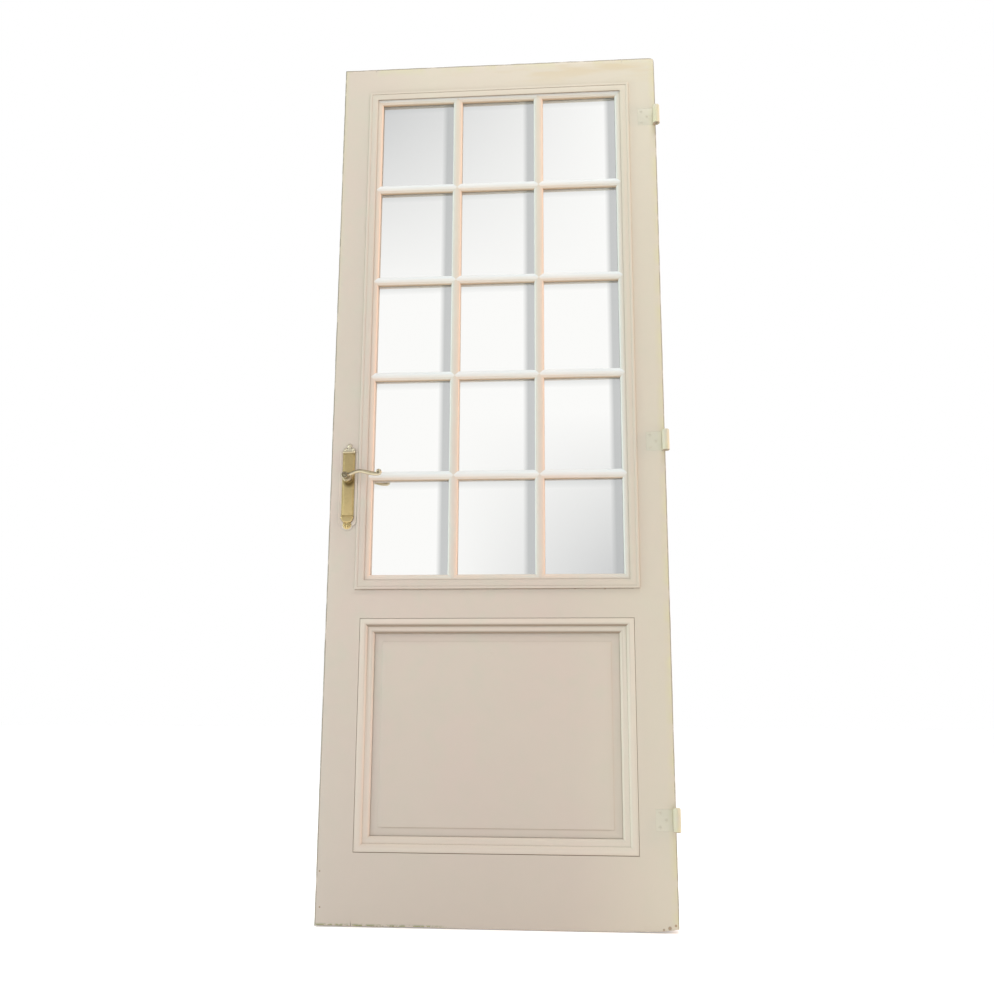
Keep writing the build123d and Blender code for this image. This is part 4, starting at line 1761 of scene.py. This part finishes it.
        # Dirt and painted shade in hollows, by ambient occlusion.
        reach = {"Distance": self.crevice_dirt_and_shade_reach_mm * MM}
        hollow = add_node(tree, "AmbientOcclusion", reach, samples=AO_SAMPLES).outputs["AO"]
        coat = laid(tree, coat, self.crevice_dirt_and_shade, self.crevice_dirt_and_shade_share, (hollow, *self.crevice_dirt_and_shade_hollow))
        fine, long = per_mm(self.brush_mm), per_mm(self.brush_length_mm)
        scale = (fine, fine, long) if self.run is Run.UPRIGHT else (long, fine, fine)
        strokes = add_node(tree, "Mapping", {0: place, 3: scale}).outputs[0]
        relief = roughened(tree, strokes, 1.0, 3.0, 0.25, 0.3)
        sheen = add_node(tree, "MapRange", {0: touches, 1: 0.3, 2: 0.7, 3: self.sheen[0], 4: self.sheen[1]})
        surfaced(tree, {"Base Color": coat, "Roughness": sheen.outputs[0], "IOR": 1.48, "Normal": relief})
        return material


@dataclass(frozen=True)
class WindowGlass:
    """Drawn window glass, 3 mm, soda-lime: clear with slow waves, and painted shade.

    The painted shade is greyer at the top left of the glazing and at the bottom right, and a painted
    shadow of the bars lies along the right side and the top of each pane.
    """

    pane_left: float
    pane_foot: float
    pitch_across: float
    pitch_up: float
    name: str = "drawn_window_glass"
    clear: str = "#FFFFFD"
    # Painted shade on the panes, and the painted shadow of the bars at their edges.
    pane_shade: str = "#D2D3D3"
    edge_pane_shade: str = "#B9BBBB"
    wave_mm: float = 120.0

    def material(self) -> Material:
        """Build the glass's node material.

        Returns:
            The material.
        """
        material, tree = new_material(self.name)
        place = add_node(tree, "TexCoord").outputs["Object"]
        across, _, height = add_node(tree, "SeparateXYZ", {0: place}).outputs
        # Painted shade, greyer towards the top left and the bottom right of the glazing.
        coat = laid(tree, linear(self.clear), self.pane_shade, 1.0, (height, 1.3, 1.86), (across, -0.1, -0.72))
        coat = laid(tree, coat, self.pane_shade, 1.0, (height, 1.0, 0.6), (across, -0.55, -0.12))
        # Painted shadow of the bars along the right side and the top of each pane.
        for value, start, pitch, share, reach in (
            (across, self.pane_left, self.pitch_across, 0.8, (0.75, 0.81)),
            (height, self.pane_foot, self.pitch_up, 0.4, (0.82, 0.9)),
        ):
            shifted = add_node(tree, "Math", {0: value, 1: start}, operation="SUBTRACT").outputs[0]
            paned = add_node(tree, "Math", {0: shifted, 1: pitch}, operation="DIVIDE").outputs[0]
            within = add_node(tree, "Math", {0: paned}, operation="FRACT").outputs[0]
            coat = laid(tree, coat, self.edge_pane_shade, share, (within, *reach))
        relief = roughened(tree, place, per_mm(self.wave_mm), 1.0, 0.05, 1.0)
        sockets = {"Base Color": coat, "Roughness": 0.0, "IOR": 1.5, "Transmission Weight": 1.0}
        surfaced(tree, {**sockets, "Normal": relief})
        return material


@dataclass(frozen=True)
class AgedBrass:
    """Cast brass, once polished and now dull yellow, with olive tarnish and painted shade in its hollows.

    It has a painted shadow round the hub and a painted highlight on the plate's top bar and crest.
    """

    name: str = "aged_cast_brass"
    bright: str = "#D6C08C"
    tarnish: str = "#6A5630"
    blotch_mm: float = 14.0
    blotch_share: float = 0.2
    blotch_range: Step = (0.45, 0.75)
    # Olive tarnish and painted shade in hollows.
    hollow_tarnish_and_shade_mm: float = 10.0
    hollow_tarnish_and_shade_share: float = 0.95
    hollow_from: float = 0.9
    hollow_full: float = 0.35
    pit_mm: float = 2.5
    dullness: Step = (0.36, 0.55)
    top_share: float = 0.0
    top_turn: Step = (0.15, 0.6)
    # Painted shadow round the hub: its share, its middle across and up the leaf in millimetres (collar), and
    # where it starts and is full.
    hub_shadow_share: float = 0.0
    collar: Step = (48.0, 1042.0)
    hub_shadow_reach: Step = (17.0, 9.0)
    # Painted highlight on the plate's top bar and crest.
    bar_highlight: str = "#E6E0CE"
    bar_highlight_share: float = 0.75
    bar_highlight_height: Step = (1112.0, 1120.0)

    def material(self) -> Material:
        """Build the brass's node material.

        Returns:
            The material.
        """
        material, tree = new_material(self.name)
        place = add_node(tree, "TexCoord").outputs["Object"]
        cloudy = {"Vector": place, "Scale": per_mm(self.blotch_mm), "Detail": 5.0, "Roughness": 0.6}
        blotches = add_node(tree, "TexNoise", cloudy).outputs[0]
        reach = {"Distance": self.hollow_tarnish_and_shade_mm * MM}
        hollow = add_node(tree, "AmbientOcclusion", reach, samples=AO_SAMPLES).outputs["AO"]
        facing = add_node(tree, "NewGeometry").outputs["Normal"]
        upward = add_node(tree, "SeparateXYZ", {0: facing}).outputs["Z"]
        height = add_node(tree, "SeparateXYZ", {0: place}).outputs["Z"]
        flat = add_node(tree, "Mapping", {0: place, 3: (1.0, 0.0, 1.0)}).outputs[0]
        centre = at(self.collar[0], 0.0, self.collar[1])
        ends = {0: flat, 1: (centre.x, 0.0, centre.z)}
        away = add_node(tree, "VectorMath", ends, operation="DISTANCE").outputs["Value"]
        in_hub_shadow = (away, self.hub_shadow_reach[0] * MM, self.hub_shadow_reach[1] * MM)
        metal = linear(self.bright)
        # Tarnish in blotches; tarnish and painted shade in hollows; the tarnish colour on faces that look
        # up; painted shadow round the hub.
        for share, zone in (
            (self.blotch_share, (blotches, *self.blotch_range)),
            (self.hollow_tarnish_and_shade_share, (hollow, self.hollow_from, self.hollow_full)),
            (self.top_share, (upward, *self.top_turn)),
            (self.hub_shadow_share, in_hub_shadow),
        ):
            metal = laid(tree, metal, self.tarnish, share, zone)
        # Painted highlight on the plate's top bar and crest, out of the hollows.
        starts, full = (at(0.0, 0.0, level).z for level in self.bar_highlight_height)
        highlit_band = ((height, starts, full), (hollow, self.hollow_full, 0.8))
        metal = laid(tree, metal, self.bar_highlight, self.bar_highlight_share, *highlit_band)
        relief = roughened(tree, place, per_mm(self.pit_mm), 3.0, 0.2, 0.2)
        metal_surfaced(tree, metal, relief, (blotches, *self.blotch_range), self.dullness)
        return material


@dataclass(frozen=True)
class DullSteel:
    """Mild steel, drawn and zinc-dull, with faint rust freckles and long draw marks."""

    name: str = "dull_mild_steel"
    metal: str = "#A39F97"
    rust: str = "#7C5A40"
    freckle_mm: float = 5.0
    draw_mm: float = 0.8
    draw_length_mm: float = 40.0
    dullness: Step = (0.38, 0.7)

    def material(self) -> Material:
        """Build the steel's node material.

        Returns:
            The material.
        """
        material, tree = new_material(self.name)
        place = add_node(tree, "TexCoord").outputs["Object"]
        speckle = {"Vector": place, "Scale": per_mm(self.freckle_mm), "Detail": 6.0, "Roughness": 0.7}
        freckles = add_node(tree, "TexNoise", speckle).outputs[0]
        colour = laid(tree, linear(self.metal), self.rust, 0.8, (freckles, 0.55, 0.8))
        fine, long = per_mm(self.draw_mm), per_mm(self.draw_length_mm)
        lines = add_node(tree, "Mapping", {0: place, 3: (fine, fine, long)}).outputs[0]
        relief = roughened(tree, lines, 1.0, 2.0, 0.15, 0.1)
        metal_surfaced(tree, colour, relief, (freckles, 0.4, 0.8), self.dullness)
        return material


def dress(names: Iterable[str], material: Material) -> None:
    """Give carried-over CAD nodes one material.

    Args:
        names: Names of the nodes.
        material: Finish that they take.
    """
    for name in names:
        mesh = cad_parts[name].data
        mesh.materials.clear()
        mesh.materials.append(material)
        log.info("dressed %s with %s", name, material.name)


@dataclass
class Studio:
    """Pale floor, pale surroundings and soft lamps, with the camera where the photographer stood."""

    focal_px: float = 1034.0
    sensor_mm: float = 36.0
    clip: Step = (0.05, 200.0)
    eye: Spot = (610.0, -2477.0, 484.0)
    turn_left_deg: float = 4.46
    tilt_up_deg: float = 11.69
    roll_deg: float = 0.24
    floor_half_width: float = 30.0
    floor_colour: str = "#FAFAFA"
    floor_roughness: float = 0.9
    floor_glow: float = 0.3
    white: str = "#FFFFFF"
    white_behind: float = 1.0
    grey_before: float = 0.52
    turn_to_white: Step = (-0.1, 0.25)
    lamps: tuple[tuple[str, Spot, float, float, str], ...] = (
        ("key_above", (0.2, -1.3, 4.6), 1.2, 60.0, "#FFFCF6"),
        ("warm_from_right", (3.0, -0.45, 1.5), 1.0, 45.0, "#FFC9A4"),
        ("cool_from_left", (-3.8, -0.6, 1.2), 1.4, 60.0, "#DDF0EA"),
    )

    def camera(self) -> None:
        """Place the camera by the leaf's own corner."""
        data = bpy.data.cameras.new("camera")
        data.lens = self.focal_px * self.sensor_mm / max(PHOTO_WIDTH, PHOTO_HEIGHT)
        data.sensor_width = self.sensor_mm
        data.clip_start, data.clip_end = self.clip
        camera = bpy.data.objects.new("camera", data)
        bpy.context.scene.collection.objects.link(camera)
        camera.location = LEAF_LOW + Vector(self.eye) * MM
        aim = Euler((math.radians(90 + self.tilt_up_deg), 0, math.radians(self.turn_left_deg)), "XYZ")
        roll = Euler((0, 0, math.radians(self.roll_deg)), "XYZ")
        camera.rotation_mode = "QUATERNION"
        camera.rotation_quaternion = aim.to_quaternion() @ roll.to_quaternion()
        bpy.context.scene.camera = camera

    def floor(self) -> None:
        """Lay the pale floor under the leaf."""
        low, _ = CAD_BOX
        bpy.ops.mesh.primitive_plane_add(size=2 * self.floor_half_width, location=(0, 0, low.z))
        floor = bpy.context.active_object
        floor.name = "floor"
        material, tree = new_material("studio_floor")
        glow = {"Emission Color": linear(self.white), "Emission Strength": self.floor_glow}
        surfaced(tree, {"Base Color": linear(self.floor_colour), "Roughness": self.floor_roughness, **glow})
        floor.data.materials.append(material)

    def surround(self) -> None:
        """Make the surroundings white behind the leaf and pale grey in front of it."""
        world = bpy.data.worlds.new("studio")
        bpy.context.scene.world = world
        world.use_nodes = True
        tree = world.node_tree
        tree.nodes.clear()
        towards = add_node(tree, "TexCoord").outputs["Generated"]
        depth = add_node(tree, "SeparateXYZ", {0: towards}).outputs["Y"]
        start, end = self.turn_to_white
        tone = {0: depth, 1: start, 2: end, 3: self.grey_before, 4: self.white_behind}
        strength = add_node(tree, "MapRange", tone).outputs[0]
        pale = add_node(tree, "Background", {"Color": linear(self.white), "Strength": strength})
        add_node(tree, "OutputWorld", {"Surface": pale.outputs[0]})

    def lamp(self, name: str, place: Sequence[float], size: float, watts: float, colour: str) -> None:
        """Hang one square soft lamp that faces the middle of the leaf.

        Args:
            name: Name of the lamp.
            place: Where it hangs, in metres.
            size: Side of its square, in metres.
            watts: Its power.
            colour: Its colour as sRGB hex.
        """
        data = bpy.data.lights.new(name, "AREA")
        data.size = size
        data.energy = watts
        data.color = linear(colour)[:3]
        lamp = bpy.data.objects.new(name, data)
        lamp.location = place
        lamp.rotation_mode = "QUATERNION"
        aim = (LEAF_LOW + LEAF_HIGH) / 2 - Vector(place)
        lamp.rotation_quaternion = aim.to_track_quat("-Z", "Y")
        bpy.context.scene.collection.objects.link(lamp)

    def build(self) -> None:
        """Set up floor, light and camera."""
        bpy.context.scene.view_settings.view_transform = "Standard"
        self.floor()
        self.surround()
        for lamp in self.lamps:
            self.lamp(*lamp)
        self.camera()


# Bar paint, with stronger painted warm light and painted cool light on the sides of the bars.
PALE = {
    "body": "#D3C8BC", "pink": "#D6C9BF", "green": "#CFCEC3", "low": "#C9C0B6", "side": "#D3CFC3",
    "crevice_dirt_and_shade_share": 0.3, "painted_warm_light": "#EFD0B8", "painted_warm_light_share": 0.6,
    "painted_cool_light": "#DCE6E4", "painted_cool_light_share": 0.6, "side_turn": (0.03, 0.5),
}
# Bar paint across, with a painted highlight on faces that look up and painted shade under them.
TOP_HIGHLIT = {
    **PALE, "body": "#DACEC1", "pink": "#DED0C6", "low": "#D0C6BC",
    "painted_underside_shade": "#A0825F", "painted_underside_shade_share": 0.75, "painted_underside_shade_turn": (-0.3, -0.85),
    "painted_top_highlight": "#E6EBED", "painted_top_highlight_share": 0.9, "painted_top_highlight_turn": (-0.25, 0.15),
}
# Bead paint, laid paler to paint light onto beads in shade behind the glass, without painted shade under
# them or dirt and painted shade in hollows.
BEAD_LIT = {**PALE, "body": "#E4DCD2", "painted_underside_shade_share": 0.0, "crevice_dirt_and_shade_share": 0.0}
# Moulding paint, a shade lighter, with deeper painted shade on faces that look down.
LIGHTER = {
    "body": "#D5CABD", "pink": "#D8C8BE", "green": "#CFCEBF", "low": "#CBC1B6", "side": "#D6D2C1",
    "painted_underside_shade": "#877663", "painted_underside_shade_turn": (-0.02, -0.5),
}
OVER_STEEL = {
    "body": "#C6C3B4", "pink": "#C6BFB2", "crevice_dirt_and_shade_share": 0.5, "painted_warm_light_share": 0.0, "painted_cool_light_share": 0.1,
    "painted_outline_shadow_share": 0.0, "edge_share": 0.0,
}


def paint_pair(stem: str, upright: dict, across: dict) -> Paints:
    """Mix one paint for uprights and for rails.

    Args:
        stem: Start of the two names.
        upright: Values of the upright paint that differ from the usual ones.
        across: The same for the paint that runs across.

    Returns:
        Both paints.
    """
    return Paints(
        BrushedPaint(f"{stem}_upright", Run.UPRIGHT, **upright).material(),
        BrushedPaint(f"{stem}_across", Run.ACROSS, **across).material(),
    )


def glass_for(bars: GlazingBars) -> Material:
    """Make the glass with its film of dust by the panes' own grid.

    Args:
        bars: Bars that the panes sit between.

    Returns:
        The material.
    """
    rows = bars.panes()
    corner, beside, above = rows[-1][0], rows[-1][1], rows[-2][0]
    pitches = (beside.left - corner.left, above.bottom - corner.bottom)
    return WindowGlass(corner.left, corner.bottom, *pitches).material()


def main() -> None:
    """Build the studio, the leaf and its fittings."""
    paints = paint_pair("satin_paint", {"crevice_dirt_and_shade_share": 0.25}, {})
    bars = GlazingBars(paint_pair("bar_paint", PALE, TOP_HIGHLIT))
    bead_paints = paint_pair("bead_paint", BEAD_LIT, BEAD_LIT)
    moulding_paints = paint_pair("moulding_paint", LIGHTER, LIGHTER)
    hinge_paint = BrushedPaint("hinge_paint", Run.UPRIGHT, **OVER_STEEL).material()
    glass = glass_for(bars)
    brass = AgedBrass(hub_shadow_share=0.85).material()
    lever_brass = AgedBrass(
        "tarnished_lever_brass", bright="#D2C6AA", tarnish="#4E3F22", hollow_tarnish_and_shade_mm=9.0, hollow_from=0.98,
        top_share=0.7, hub_shadow_share=0.55, collar=(46.0, 1050.0), hub_shadow_reach=(14.0, 8.0),
    ).material()
    steel = DullSteel().material()
    Studio().build()
    LeafFrame(paints).build()
    GlazingSurround(paints).build()
    bars.build()
    Glazing(bars, bead_paints, glass).build()
    LowerPanel(paints, moulding_paints).build()
    Hinges(hinge_paint).build()
    HandleSet(brass, lever_brass, moulding_paints.upright).build()
    Latch(steel).build()
    dress(["spindle"], steel)


if __name__ == "__main__":
    logging.basicConfig(level=logging.INFO, format="%(name)s: %(message)s")
    main()
